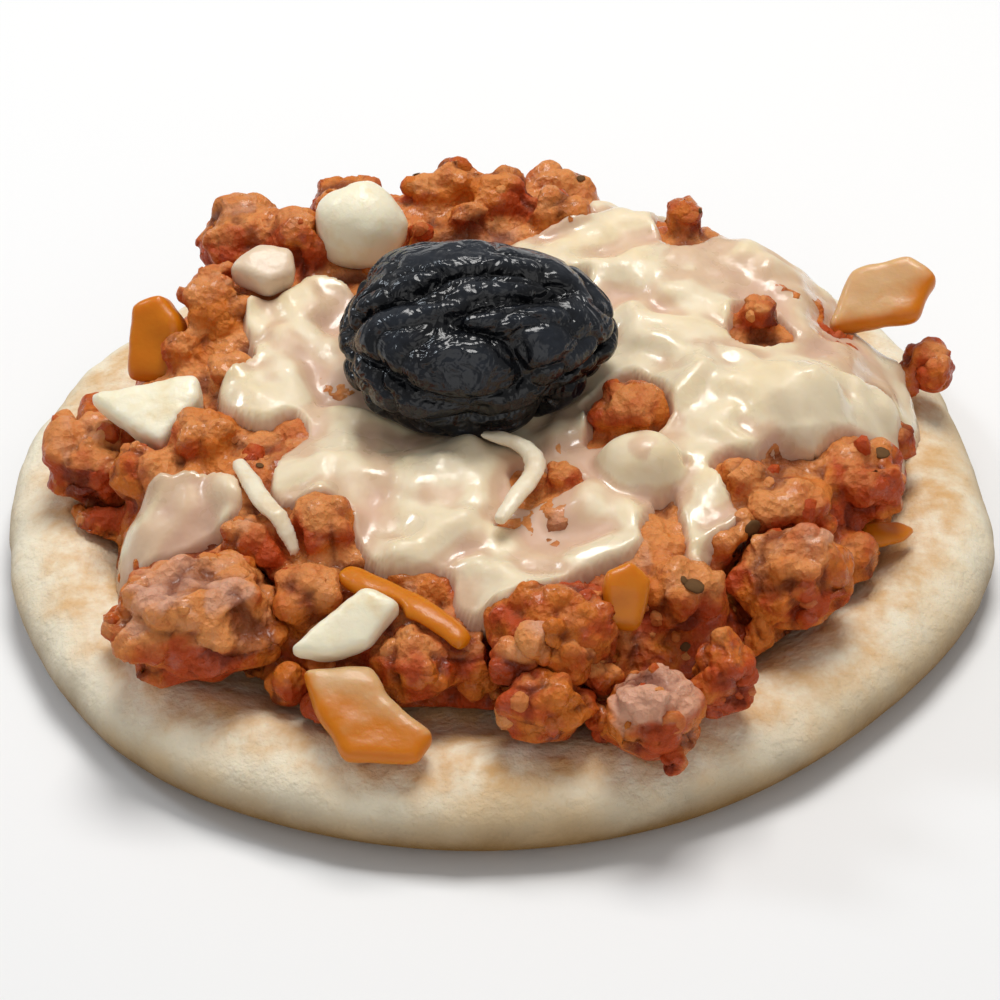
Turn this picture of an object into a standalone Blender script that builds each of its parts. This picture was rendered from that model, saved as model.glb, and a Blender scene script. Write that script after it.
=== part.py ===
"""Mini pizza topped with minced meat, melted cheese, cheese pieces, onion pieces and one black olive.

Metres, +Z up. The origin is the middle of the flat underside, and -Y is the side that faces the viewer.
The bread carries the heap of mince, the cheese is laid over the heap, and the larger pieces are pressed
into both: whatever lies under a piece is carved back to leave it a thin gap.
"""

import math
import random

import bmesh
import bpy
from mathutils import Euler, Matrix, Vector, noise
from mathutils.bvhtree import BVHTree

MM = 0.001
GAP = 0.4 * MM
# A cutter is pushed out by a little more than the gap, because its corners lie farther apart than its faces.
CUT_GAP = 0.46 * MM
SKY = 100 * MM
DOWN = Vector((0, 0, -1))

# The bread base: a round of dough with a soft rim and a shallow well for the topping.
BREAD_RADIUS = 42.5 * MM
CROWN_HEIGHT = 7.5 * MM
WELL_HEIGHT = 5.6 * MM
EDGE_ROUNDING = 5.5 * MM
RIM_SLOPE = 7.0 * MM
BREAD_SEGMENTS = 52
EDGE_STEPS = 6
SLOPE_SHARES = (0.3, 0.6, 1.0)
# Shares of the radius where the flat underside and the flat of the well have their rings of points.
UNDERSIDE_SHARE = 0.55
WELL_SHARE = 0.4
CROWN_UNEVENNESS = 0.35 * MM
# Where the edge swells or is pulled in: degrees from +X, radial change and spread in degrees.
EDGE_SWELLS = (
    (341, 1.0 * MM, 9),
    (226, 0.5 * MM, 10),
    (313, -0.7 * MM, 14),
    (6, -0.45 * MM, 10),
    (165, 0.35 * MM, 12),
    (196, -0.25 * MM, 12),
    (60, 0.5 * MM, 20),
    (105, -0.5 * MM, 18),
)

# The heap of mince: mean radius, height over the well in the middle, and how much higher its back is.
HEAP_RADIUS = 33.8 * MM
HEAP_HEIGHT = 12.0 * MM
HEAP_LEAN = 2.4 * MM
HEAP_SEGMENTS = 36
HEAP_SHARES = (0.18, 0.36, 0.52, 0.66, 0.78, 0.87, 0.94, 0.975)
HEAP_UNDER_SHARES = (0.5, 0.85, 1.0)
# Where the heap is piled higher, or dented under the olive: x, y, added height and spread, in mm.
HEAP_MOUNDS = ((22, 18, 2.4, 6.5), (-18, 18, 2.2, 7), (-4, 25, 2.0, 6), (-1, -1, -2.4, 6.5))
# The heap's outline: how far it leans to the back and strays, and where it swells or is pulled in, given as
# for the bread's edge.
HEAP_SHIFT = 1.3 * MM
HEAP_UNEVENNESS = 2.2 * MM
HEAP_SWELLS = ((10, 2.0 * MM, 16), (264, -3.0 * MM, 7))
# Bumps on the bare heap: height and size, and the least height of its edge over the bread.
HEAP_BUMP_HEIGHT = 1.3 * MM
HEAP_BUMP_SIZE = 5.5 * MM
HEAP_FOOT = 0.7 * MM

# Lumps of mince that are part of the heap: x, y, size and height of the middle over the bare heap, in mm.
HEAP_LUMPS = (
    (-20.8, 19.5, 9.5, 0.8),
    (-22.6, 10.7, 8.0, 0.8),
    (-16.1, 16.6, 7.0, 0.6),
    (-5.0, 23.8, 5.0, 1.2),
    (-2.4, 24.6, 5.4, 2.2),
    (1.6, 23.2, 6.0, 1.3),
    (6.4, 20.8, 6.2, 1.0),
    (-1.4, 19.4, 4.6, 0.9),
    (17.6, 18.6, 4.8, 1.6),
    (23.1, 5.8, 5.0, 1.4),
    (38.0, 9.0, 5.4, 3.6),
    (35.2, 8.0, 5.2, 0.6),
    (11.2, -6.0, 6.6, 1.0),
    (12.0, -13.0, 4.8, 1.0),
    (20.2, -13.8, 5.0, 0.9),
    (23.9, -15.6, 7.5, 0.2),
    (29.8, -10.4, 8.5, 0.4),
    (33.8, -2.4, 5.4, 0.4),
    (28.9, -17.0, 5.2, 0.4),
    (14.0, -25.0, 7.5, 0.4),
    (19.0, -19.6, 5.4, 0.3),
    (-28.7, -6.4, 7.5, 0.4),
    (-23.9, -5.0, 6.5, 0.5),
    (-27.5, -18.0, 6.0, 0.8),
    (-19.3, -18.2, 6.2, 0.4),
    (-14.0, -17.6, 6.2, 0.4),
    (-15.4, -23.4, 6.6, 0.3),
    (-6.9, -29.4, 8.0, 3.0),
    (-13.2, -30.4, 6.4, 0.6),
    (-1.7, -28.8, 6.6, 0.1),
    (-2.2, -29.4, 4.8, 0.2),
    (-32.8, -4.4, 6.0, 0.6),
    (5.6, -13.4, 4.4, 0.3),
    (-26.1, 7.0, 5.4, 0.5),
    (-21.8, 2.0, 4.6, 0.4),
    (-5.2, -27.4, 5.8, 0.3),
    (8.4, -31.4, 4.6, 0.6),
    (24.4, -26.6, 4.8, 0.6),
)
# A lump's length, width and height against its size, how uneven its skin is, and from what size it has finer
# and very fine faces.
LUMP_SHAPE = (1, 0.95, 0.82)
LUMP_ROUGHNESS = 0.2
LARGE_LUMP_ROUGHNESS = 0.24
FINE_LUMP_SIZE = 6.0
VERY_FINE_LUMP_SIZE = 9.5
# Lumps that fill the bare flanks by a rule: sizes in mm, shares of the heap's radius where they may lie, and
# the least distance of two middles as a share of both sizes.
FILLER_SIZES = (4.6, 7.6)
FILLER_SHARES = (0.5, 1.0)
FILLER_TRIES = 420
FILLER_SPACING = 0.53
FILLER_CLEARANCE = 0.3
FILLER_LIFT = 0.3
FILLER_SEED = 11

# Lumps of mince large enough to be pieces of their own: middle and size along X, Y and Z, in mm.
LARGE_LUMPS = {
    "meat_lump_front_left": ((-23.8, -24.4, 12.0), (14.0, 11.4, 10.2)),
    "meat_lump_front_middle": ((4.4, -29.4, 13.0), (10.4, 8.4, 9.2)),
    "meat_lump_front_low": ((3.2, -34.8, 10.5), (7.8, 6.6, 7.0)),
    "meat_lump_front_pink": ((11.6, -36.3, 10.3), (8.8, 7.8, 8.0)),
    "meat_lump_front_right": ((17.2, -32.6, 10.6), (5.4, 5.8, 7.8)),
    "meat_lump_right": ((23.7, -22.2, 12.2), (10.2, 8.6, 8.2)),
    "meat_lump_left": ((-33.6, -0.2, 10.4), (9.0, 9.6, 7.6)),
}

# Melted cheese over the heap, in mm: its grid's cell, its thickness at the edge, what it gains inside
# and how far inside it has gained that, the most that lobes add, and how much its outline strays.
CHEESE_CELL = 2.35
CHEESE_EDGE = 0.8
CHEESE_BODY = 0.7
CHEESE_FULL_AT = 2.4
CHEESE_MOST_ADDED = 2.0
CHEESE_UNEVENNESS = 0.5
CHEESE_NOISE_SIZE = 3.0
# The share of a lobe's half size over which its added thickness fades, and the share of a cell over which a
# point looks for what it must clear.
LOBE_SPREAD = 0.55
CHEESE_LOOK_ROUND = 0.5
CHEESE_BRIDGING = 1
# Where the cheese's line may cut a side of a cell, as shares of the side: this keeps tiny faces out.
CUT_SHARES = (0.2, 0.8)
# Each lobe: x, y, half sizes, turn in degrees and added thickness, in mm.
CHEESE_LOBES = (
    (-1.0, -1.0, 11.5, 9.5, 0, 0),
    (14.7, 6.0, 7.4, 8.0, 0, 0.2),
    (20.3, 12.6, 8.0, 7.0, 0, 0.1),
    (10.1, 17.0, 5.5, 4.6, 0, 0.6),
    (3.9, 13.8, 5.4, 3.2, 10, 0),
    (25.2, -2.8, 6.4, 6.6, 20, 1.8),
    (32.0, 3.4, 4.6, 5.0, 0, 0.3),
    (17.3, -6.6, 5.4, 7.0, 0, 0.4),
    (17.4, -15.0, 2.9, 7.6, 0, 0.3),
    (33.6, -1.6, 2.6, 4.4, 0, 0),
    (28.8, 9.8, 4.4, 5.0, 0, 0),
    (16.9, -21.4, 2.5, 3.4, 0, 0.1),
    (-5.3, -14.5, 6.6, 5.4, 0, 1.0),
    (-13.4, -11.2, 5.6, 4.0, 25, 0.3),
    (7.5, -18.8, 6.0, 4.4, 0, 0.3),
    (0.1, -25.0, 4.0, 3.0, 0, 0.5),
    (-6.2, -19.0, 5.2, 3.6, 0, 0.2),
    (3.3, -22.0, 4.5, 3.2, 0, 0),
    (14.4, -10.6, 2.6, 4.0, 0, 0),
    (-9.3, -7.6, 4.6, 3.6, 0, 0),
    (-17.3, 6.4, 3.2, 7.0, 12, 0.3),
    (-19.0, -1.4, 4.2, 3.2, 0, 0.5),
    (-13.5, 6.0, 3.0, 6.4, 0, 0),
    (-13.1, -2.6, 2.8, 5.2, 0, 0),
    (13.0, 23.0, 6.0, 3.4, 10, 0),
    (25.0, 18.0, 4.6, 4.0, 0, 0),
)
# Where lumps of mince come up through the melted cheese: x, y and half sizes, in mm.
CHEESE_HOLES = (
    (17.6, 19.8, 3.3, 5.2),
    (23.1, 5.4, 3.0, 3.8),
    (11.2, -6.0, 3.9, 4.2),
    (12.0, -13.0, 2.8, 3.0),
    (20.2, -13.8, 3.4, 3.0),
    (5.6, -13.4, 2.4, 2.4),
)
LEFT_PATCH_LOBES = (
    (-27.0, -12.6, 4.4, 3.6, 0, 0.5),
    (-22.8, -12.8, 3.0, 2.8, 0, 0.2),
)

# Edges of cut pieces are rounded by this share of their thickness.
SLAB_ROUNDING = 0.24
# Unmelted cheese: plan outline, thickness, middle, and turns about X, Y and Z in degrees. All in mm.
CHEESE_PIECES = {
    "cheese_piece_left": (
        ((-5.2, 1.6), (-1.6, -2.6), (1.0, -4.8), (4.6, -0.6), (4.4, 2.0)),
        3.0,
        (-28.7, -0.8, 16.1),
        (18, -8, 0),
    ),
    "cheese_piece_front": (
        ((-4.8, -0.8), (-1.8, -2.2), (1.8, -1.8), (4.8, 1.0), (2.2, 3.0)),
        2.8,
        (-12.2, -28.6, 13.8),
        (34, -8, 6),
    ),
    "cheese_piece_upper_left": (
        ((-3.1, -0.4), (0.4, -2.2), (2.9, -1.0), (2.4, 2.0), (-0.6, 2.4)),
        2.8,
        (-19.1, 11.6, 21.0),
        (16, 6, 0),
    ),
}

# The roundest piece of unmelted cheese: middle and size along X, Y and Z, in mm, and how uneven it is.
ROUND_CHEESE = ((-10.4, 17.0, 22.2), (8.2, 7.0, 7.8))
ROUND_CHEESE_ROUGHNESS = 0.12

# Cooked onion, cut the same way.
ONION_PIECES = {
    "onion_right": (
        ((-5.2, -1.8), (2.2, -3.2), (4.9, -0.4), (3.5, 2.4), (-1.8, 2.8)),
        2.2,
        (34.1, 11.4, 16.0),
        (34, -14, 8),
    ),
    "onion_left": (
        ((-2.4, -3.6), (1.8, -4.0), (2.6, 0.8), (0.8, 3.6), (-1.9, 2.8)),
        2.4,
        (-28.6, 9.4, 16.2),
        (52, -10, -14),
    ),
    "onion_front": (
        ((-5.2, 4.4), (-3.6, 0.0), (-1.8, -3.0), (3.8, -3.4), (5.0, -1.2), (1.4, 2.0), (0.4, 4.8)),
        1.9,
        (-10.7, -35.2, 9.7),
        (24, 4, 0),
    ),
    "onion_middle": (
        ((-1.8, -2.2), (0.8, -2.8), (2.0, 1.2), (0.6, 2.8), (-1.6, 2.0)),
        1.4,
        (9.8, -28.6, 16.0),
        (50, 10, 10),
    ),
    "onion_low_right": (
        ((-2.4, -1.1), (1.0, -1.3), (2.7, -0.4), (1.5, 1.1), (-2.0, 1.3)),
        1.0,
        (32.2, -12.4, 8.4),
        (0, 8, 20),
    ),
}

# Strips that are bent as they lie: the middle line in plan, width and thickness, in mm.
STRIPS = {
    "onion_strip": (((-12.4, -22.2), (-9.6, -24.4), (-6.2, -27.2), (-2.8, -30.2)), 3.0, 1.4),
    "cheese_shred_left": (((-21.0, -9.4), (-19.8, -12.8), (-18.4, -16.4), (-16.2, -20.0)), 1.9, 1.3),
    "cheese_shred_middle": (
        ((-0.9, -9.6), (2.2, -10.8), (3.4, -13.4), (2.0, -17.0), (0.2, -20.0)),
        1.9,
        1.3,
    ),
}
STRIP_STEPS = 10
STRIP_SIDES = 6
# How far a strip's middle line lies over what carries it, as a share of its thickness, and how slim it ends.
STRIP_LIFT = 0.3
STRIP_END = 0.35

# The olive: a dried one, wrinkled lengthwise.
OLIVE_MIDDLE = (-0.9, -1.5, 22.5)
OLIVE_SIZE = (22.4, 18.2, 14.0)
OLIVE_TURN = -6
OLIVE_FOLDS = 9
OLIVE_FOLD_DEPTH = 0.05
OLIVE_DENT_DEPTH = 0.07
OLIVE_SEGMENTS = 26
OLIVE_RINGS = 14


def bell(offset, spread):
    return math.exp(-0.5 * (offset / spread) ** 2)


def turn_between(first, second):
    """Smallest difference of two angles in degrees."""
    return (first - second + 180) % 360 - 180


def swell_at(angle, swells):
    """The radial change that the swells add up to in one direction."""
    degrees = math.degrees(angle)
    return sum(size * bell(turn_between(degrees, at), spread) for at, size, spread in swells)


def bread_radius(angle):
    return BREAD_RADIUS + swell_at(angle, EDGE_SWELLS)


def crown_height(angle):
    around = Vector((math.cos(angle), math.sin(angle), 0))
    return CROWN_HEIGHT + CROWN_UNEVENNESS * noise.noise(around * 2.3)


def bread_profile(angle):
    """Radius and height from the flat underside, round the outside, over the crown and into the well."""
    radius = bread_radius(angle)
    crown = crown_height(angle)
    points = [(UNDERSIDE_SHARE * radius, 0.0)]
    for step in range(EDGE_STEPS + 1):
        turn = math.pi * step / EDGE_STEPS
        outward = radius - EDGE_ROUNDING * (1 - math.sin(turn))
        points.append((outward, crown / 2 * (1 - math.cos(turn))))
    for share in SLOPE_SHARES:
        fall = 0.5 - 0.5 * math.cos(math.pi * share)
        inward = radius - EDGE_ROUNDING - RIM_SLOPE * share
        points.append((inward, crown + (WELL_HEIGHT - crown) * fall))
    points.append((WELL_SHARE * radius, WELL_HEIGHT))
    return points


def heap_radius(angle):
    around = Vector((math.cos(angle), math.sin(angle), 0.4))
    swell = swell_at(angle, HEAP_SWELLS)
    shift = HEAP_SHIFT * math.sin(angle)
    return HEAP_RADIUS + shift + HEAP_UNEVENNESS * noise.noise(around * 3.1) + swell


def heap_top(radius, angle):
    """Height of the bare heap: a plateau with steep sides, higher at the back, with bumps of mince size."""
    share = min(radius / heap_radius(angle), 1.0)
    x = radius * math.cos(angle)
    y = radius * math.sin(angle)
    bumps = HEAP_BUMP_HEIGHT * noise.noise(Vector((x, y, 0)) / HEAP_BUMP_SIZE)
    lean = HEAP_LEAN * y / HEAP_RADIUS
    mounds = MM * sum(
        size * bell(math.hypot(x / MM - mx, y / MM - my), spread) for mx, my, size, spread in HEAP_MOUNDS
    )
    return WELL_HEIGHT + (HEAP_HEIGHT + lean + bumps + mounds) * math.sqrt(1 - share**5)


def finish_of(name, colour, roughness):
    material = bpy.data.materials.new(name)
    material.use_nodes = True
    shader = material.node_tree.nodes["Principled BSDF"]
    shader.inputs["Base Color"].default_value = (*colour, 1)
    shader.inputs["Roughness"].default_value = roughness
    shader.inputs["Metallic"].default_value = 0
    return material


def object_from(builder, name, finish):
    """Links a bmesh as a smooth object and frees the bmesh."""
    bmesh.ops.triangulate(builder, faces=builder.faces)
    bmesh.ops.recalc_face_normals(builder, faces=builder.faces)
    mesh = bpy.data.meshes.new(name)
    builder.to_mesh(mesh)
    builder.free()
    mesh.shade_smooth()
    obj = bpy.data.objects.new(name, mesh)
    bpy.context.scene.collection.objects.link(obj)
    mesh.materials.append(finish)
    return obj


def turned_body(name, profile_at, segments, finish):
    """A closed body whose profile, from the underside to the top, is carried round the Z axis."""
    builder = bmesh.new()
    loops = []
    for step in range(segments):
        angle = 2 * math.pi * step / segments
        loops.append([
            builder.verts.new((r * math.cos(angle), r * math.sin(angle), z)) for r, z in profile_at(angle)
        ])
    below = builder.verts.new((0, 0, loops[0][0].co.z))
    above = builder.verts.new((0, 0, loops[0][-1].co.z))
    for step in range(segments):
        here = loops[step]
        after = loops[(step + 1) % segments]
        builder.faces.new((below, after[0], here[0]))
        builder.faces.new((above, here[-1], after[-1]))
        for k in range(len(here) - 1):
            builder.faces.new((here[k], after[k], after[k + 1], here[k + 1]))
    return object_from(builder, name, finish)


class Support:
    """The upper surface of everything laid so far, read straight down."""

    def __init__(self):
        self.trees = {}

    def add(self, obj):
        bpy.context.view_layer.update()
        self.trees[obj.name] = BVHTree.FromObject(obj, bpy.context.evaluated_depsgraph_get())

    def height(self, x, y, names=None):
        start = Vector((x, y, SKY))
        found = [
            tree.ray_cast(start, DOWN)[0] for name, tree in self.trees.items() if not names or name in names
        ]
        return max((hit.z for hit in found if hit), default=0.0)

    def height_near(self, x, y, reach):
        """The highest surface within reach of a point."""
        around = [(0.0, 0.0)]
        for share, count in ((0.5, 6), (1.0, 10)):
            for step in range(count):
                turn = 2 * math.pi * step / count
                around.append((share * reach * math.cos(turn), share * reach * math.sin(turn)))
        return max(self.height(x + dx, y + dy) for dx, dy in around)


def rough_ball(name, middle, size, detail, finish, seed, roughness):
    """A ball with an uneven skin: two scales of noise push its points in and out."""
    builder = bmesh.new()
    bmesh.ops.create_icosphere(builder, subdivisions=detail, radius=1)
    offset = Vector((seed * 3.7, seed * 1.9, seed * 5.3))
    for vertex in builder.verts:
        direction = vertex.co.normalized()
        swell = roughness * noise.noise(direction * 1.7 + offset)
        swell += 0.5 * roughness * noise.noise(direction * 4.1 + offset)
        vertex.co = direction * (1 + swell)
    half = Vector(size) * 0.5
    turn = Matrix.Rotation(seed * 1.3, 4, "Z") if size[0] == size[1] else Matrix.Identity(4)
    builder.transform(Matrix.Translation(middle) @ Matrix.Diagonal((*half, 1)) @ turn)
    return object_from(builder, name, finish)


def keep_above(obj, support, names, gap):
    """Lifts the points that would reach into what lies under the object."""
    for vertex in obj.data.vertices:
        floor = support.height(vertex.co.x, vertex.co.y, names) + gap
        vertex.co.z = max(vertex.co.z, floor)
    obj.data.update()


def slab(name, outline, thickness, middle, turns, finish):
    """A flat piece cut to an outline, with soft edges, turned and put in its place."""
    builder = bmesh.new()
    face = builder.faces.new([builder.verts.new((x * MM, y * MM, -thickness * MM / 2)) for x, y in outline])
    made = bmesh.ops.extrude_face_region(builder, geom=[face])["geom"]
    lifted = [part for part in made if isinstance(part, bmesh.types.BMVert)]
    bmesh.ops.translate(builder, vec=(0, 0, thickness * MM), verts=lifted)
    bmesh.ops.recalc_face_normals(builder, faces=builder.faces)
    rounding = SLAB_ROUNDING * thickness * MM
    bmesh.ops.bevel(builder, geom=builder.edges, offset=rounding, segments=2, profile=0.6, affect="EDGES")
    turn = Euler([math.radians(angle) for angle in turns]).to_matrix().to_4x4()
    builder.transform(Matrix.Translation(Vector(middle) * MM) @ turn)
    return object_from(builder, name, finish)


def along(points, share):
    """A point at a share of a smooth line through the points, each stretch a Catmull-Rom curve."""
    spans = len(points) - 1
    place = min(share * spans, spans - 1e-9)
    span = int(place)
    t = place - span
    before = points[max(span - 1, 0)]
    start, end = points[span], points[span + 1]
    after = points[min(span + 2, spans)]
    return 0.5 * (
        2 * start
        + (end - before) * t
        + (2 * before - 5 * start + 4 * end - after) * t**2
        + (3 * start - before - 3 * end + after) * t**3
    )


def strip(name, plan, width, thickness, support, finish):
    """A strip that follows a line in plan and lies on what is under it, with rounded ends."""
    line = [Vector((x * MM, y * MM, 0)) for x, y in plan]
    builder = bmesh.new()
    rings = []
    middles = [along(line, step / STRIP_STEPS) for step in range(STRIP_STEPS + 1)]
    lift = STRIP_LIFT * thickness * MM
    heights = [support.height(point.x, point.y) + lift for point in middles]
    for _ in range(STRIP_STEPS):
        for step in range(1, STRIP_STEPS):
            heights[step] = max(heights[step], (heights[step - 1] + heights[step + 1]) / 2)
    for step, middle in enumerate(middles):
        share = step / STRIP_STEPS
        heading = (along(line, min(share + 0.02, 1)) - along(line, max(share - 0.02, 0))).normalized()
        across = Vector((-heading.y, heading.x, 0))
        taper = STRIP_END + (1 - STRIP_END) * math.sqrt(math.sin(math.pi * (0.06 + 0.88 * share)))
        middle.z = heights[step]
        ring = []
        for side in range(STRIP_SIDES):
            turn = 2 * math.pi * side / STRIP_SIDES
            sideways = across * (0.5 * width * MM * taper * math.cos(turn))
            ring.append(middle + sideways + Vector((0, 0, 0.5 * thickness * MM * taper * math.sin(turn))))
        rings.append([builder.verts.new(point) for point in ring])
    for here, after in zip(rings, rings[1:]):
        for side in range(STRIP_SIDES):
            beside = (side + 1) % STRIP_SIDES
            builder.faces.new((here[side], here[beside], after[beside], after[side]))
    builder.faces.new(rings[0])
    builder.faces.new(rings[-1])
    return object_from(builder, name, finish)


def lobe_depth(x, y, lobe):
    """How far inside an oval a point is, in mm: zero on its edge and below zero outside."""
    lobe_x, lobe_y, half_x, half_y = lobe[:4]
    turn = math.radians(lobe[4]) if len(lobe) > 4 else 0.0
    dx = (x - lobe_x) * math.cos(turn) + (y - lobe_y) * math.sin(turn)
    dy = (y - lobe_y) * math.cos(turn) - (x - lobe_x) * math.sin(turn)
    return min(half_x, half_y) * (1 - math.hypot(dx / half_x, dy / half_y))


def cheese_depth(x, y, lobes, holes):
    """How far inside the sheet of cheese a point is, in mm."""
    inside = max(lobe_depth(x, y, lobe) for lobe in lobes)
    outside_holes = min((-lobe_depth(x, y, hole) for hole in holes), default=inside)
    uneven = CHEESE_UNEVENNESS * noise.noise(Vector((x, y, 3.0)) / CHEESE_NOISE_SIZE)
    return min(inside, outside_holes) + uneven


def cheese_thickness(x, y, lobes, depth):
    body = CHEESE_BODY * min(max(depth, 0.0) / CHEESE_FULL_AT, 1.0)
    extra = 0.0
    for lobe_x, lobe_y, half_x, half_y, _, added in lobes:
        extra += added * bell(math.hypot((x - lobe_x) / half_x, (y - lobe_y) / half_y), LOBE_SPREAD)
    return CHEESE_EDGE + body + min(extra, CHEESE_MOST_ADDED)


def drop_islands(builder):
    """Keeps the largest connected piece of a mesh."""
    left = set(builder.verts)
    largest = set()
    while left:
        island = set()
        front = [left.pop()]
        while front:
            vertex = front.pop()
            island.add(vertex)
            near = {edge.other_vert(vertex) for edge in vertex.link_edges} & left
            left -= near
            front.extend(near)
        if len(island) > len(largest):
            largest = island
    bmesh.ops.delete(builder, geom=[v for v in builder.verts if v not in largest], context="VERTS")


def sheet_plan(lobes, holes):
    """The sheet in plan, in mm: squares of a grid, cut along the line where the cheese ends."""
    builder = bmesh.new()
    reach = int(HEAP_RADIUS / MM / CHEESE_CELL) + 3
    steps = range(-reach, reach + 1)
    depths = {
        (i, j): cheese_depth(i * CHEESE_CELL, j * CHEESE_CELL, lobes, holes) for i in steps for j in steps
    }
    points = {}

    def point_between(here, after):
        """The grid's point itself where both are the same, or else where the cheese ends between them."""
        key = (min(here, after), max(here, after))
        if key not in points:
            share = 0.0
            if here != after:
                share = depths[here] / (depths[here] - depths[after])
                share = min(max(share, CUT_SHARES[0]), CUT_SHARES[1])
            x, y = ((a + (b - a) * share) * CHEESE_CELL for a, b in zip(here, after))
            points[key] = builder.verts.new((x, y, 0))
        return points[key]

    for i in steps[:-1]:
        for j in steps[:-1]:
            corners = ((i, j), (i + 1, j), (i + 1, j + 1), (i, j + 1))
            outline = []
            for here, after in zip(corners, corners[1:] + corners[:1]):
                if depths[here] > 0:
                    outline.append(point_between(here, here))
                if (depths[here] > 0) != (depths[after] > 0):
                    outline.append(point_between(here, after))
            if outline:
                builder.faces.new(outline)
    drop_islands(builder)
    return builder


def cheese_sheet(name, lobes, holes, support, finish):
    """A sheet with an uneven outline and holes, laid over the heap: thin at its edges, thicker inside."""
    builder = sheet_plan(lobes, holes)
    bmesh.ops.triangulate(builder, faces=builder.faces)
    for vertex in builder.verts:
        x, y = vertex.co.xy
        vertex.co.z = (support.height_near(x * MM, y * MM, CHEESE_LOOK_ROUND * CHEESE_CELL * MM) + GAP) / MM
    for _ in range(CHEESE_BRIDGING):
        bridged = {
            vertex: sum(edge.other_vert(vertex).co.z for edge in vertex.link_edges) / len(vertex.link_edges)
            for vertex in builder.verts
        }
        for vertex, height in bridged.items():
            vertex.co.z = max(vertex.co.z, height)
    made = bmesh.ops.extrude_face_region(builder, geom=builder.faces, use_keep_orig=True)["geom"]
    upper = {part for part in made if isinstance(part, bmesh.types.BMVert)}
    for vertex in builder.verts:
        x, y, floor = vertex.co
        depth = cheese_depth(x, y, lobes, holes)
        lift = cheese_thickness(x, y, lobes, depth) if vertex in upper else 0.0
        vertex.co = Vector((x, y, floor + lift)) * MM
    return object_from(builder, name, finish)


def apply_boolean(obj, operation, solver, **operand):
    """Adds a Boolean to an object and applies it."""
    modifier = obj.modifiers.new("join_or_cut", "BOOLEAN")
    modifier.operation = operation
    modifier.solver = solver
    for setting, value in operand.items():
        setattr(modifier, setting, value)
    bpy.context.view_layer.objects.active = obj
    bpy.ops.object.modifier_apply(modifier=modifier.name)


def join_lumps(heap, lumps):
    """One union joins the lumps to the heap, and the lumps are then removed."""
    group = bpy.data.collections.new("lumps")
    bpy.context.scene.collection.children.link(group)
    for lump in lumps:
        bpy.context.scene.collection.objects.unlink(lump)
        group.objects.link(lump)
    apply_boolean(heap, "UNION", "MANIFOLD", operand_type="COLLECTION", collection=group)
    for lump in lumps:
        bpy.data.objects.remove(lump)
    bpy.data.collections.remove(group)


def boxes_meet(first, second):
    """Whether the boxes round two objects come within the gap of each other."""
    for axis in range(3):
        a = [vertex.co[axis] for vertex in first.data.vertices]
        b = [vertex.co[axis] for vertex in second.data.vertices]
        if max(a) + GAP < min(b) or max(b) + GAP < min(a):
            return False
    return True


def carve(target, piece):
    """Cuts the target back from a piece that is pressed into it, with the gap all round."""
    if not boxes_meet(target, piece):
        return
    cutter = piece.copy()
    cutter.data = piece.data.copy()
    bpy.context.scene.collection.objects.link(cutter)
    normals = [vertex.normal.copy() for vertex in cutter.data.vertices]
    for vertex, normal in zip(cutter.data.vertices, normals):
        vertex.co += normal * CUT_GAP
    apply_boolean(target, "DIFFERENCE", "MANIFOLD", object=cutter)
    bpy.data.objects.remove(cutter)
    builder = bmesh.new()
    builder.from_mesh(target.data)
    drop_islands(builder)
    builder.to_mesh(target.data)
    builder.free()


def too_near(x, y, size, taken):
    return any(math.hypot(x - tx, y - ty) < FILLER_SPACING * (size + other) for tx, ty, other in taken)


def filler_lumps():
    """Lumps for what is still bare, drawn at random with the largest first, and kept off the cheese."""
    draw = random.Random(FILLER_SEED)
    taken = [(x, y, size) for x, y, size, lift in HEAP_LUMPS]
    taken += [(middle[0], middle[1], size[0]) for middle, size in LARGE_LUMPS.values()]
    chosen = []
    for size in sorted((draw.uniform(*FILLER_SIZES) for _ in range(FILLER_TRIES)), reverse=True):
        angle = draw.uniform(0, 2 * math.pi)
        radius = heap_radius(angle) / MM * draw.uniform(*FILLER_SHARES)
        x, y = radius * math.cos(angle), radius * math.sin(angle)
        depth = max(cheese_depth(x, y, lobes, ()) for lobes in (CHEESE_LOBES, LEFT_PATCH_LOBES))
        if depth > -FILLER_CLEARANCE * size or too_near(x, y, size, taken):
            continue
        taken.append((x, y, size))
        chosen.append((x, y, size, FILLER_LIFT))
    return chosen


def make_heap(support, finish):
    def profile(angle):
        edge = heap_radius(angle)
        lower = []
        for share in HEAP_UNDER_SHARES:
            x, y = edge * share * math.cos(angle), edge * share * math.sin(angle)
            lower.append((edge * share, support.height(x, y) + GAP))
        foot = lower[-1][1] + HEAP_FOOT
        upper = [(edge * share, max(heap_top(edge * share, angle), foot)) for share in reversed(HEAP_SHARES)]
        return lower + upper

    heap = turned_body("minced_meat", profile, HEAP_SEGMENTS, finish)
    bare = Support()
    bare.add(heap)
    lumps = []
    for number, (x, y, size, lift) in enumerate((*HEAP_LUMPS, *filler_lumps())):
        floor = max(bare.height(x * MM, y * MM), support.height(x * MM, y * MM))
        middle = Vector((x * MM, y * MM, floor + lift * MM))
        box = Vector(LUMP_SHAPE) * size * MM
        detail = 2 if size >= FINE_LUMP_SIZE else 1
        lump = rough_ball(f"lump_{number}", middle, box, detail, finish, number + 1, LUMP_ROUGHNESS)
        keep_above(lump, support, None, GAP)
        lumps.append(lump)
    join_lumps(heap, lumps)
    return heap


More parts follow.
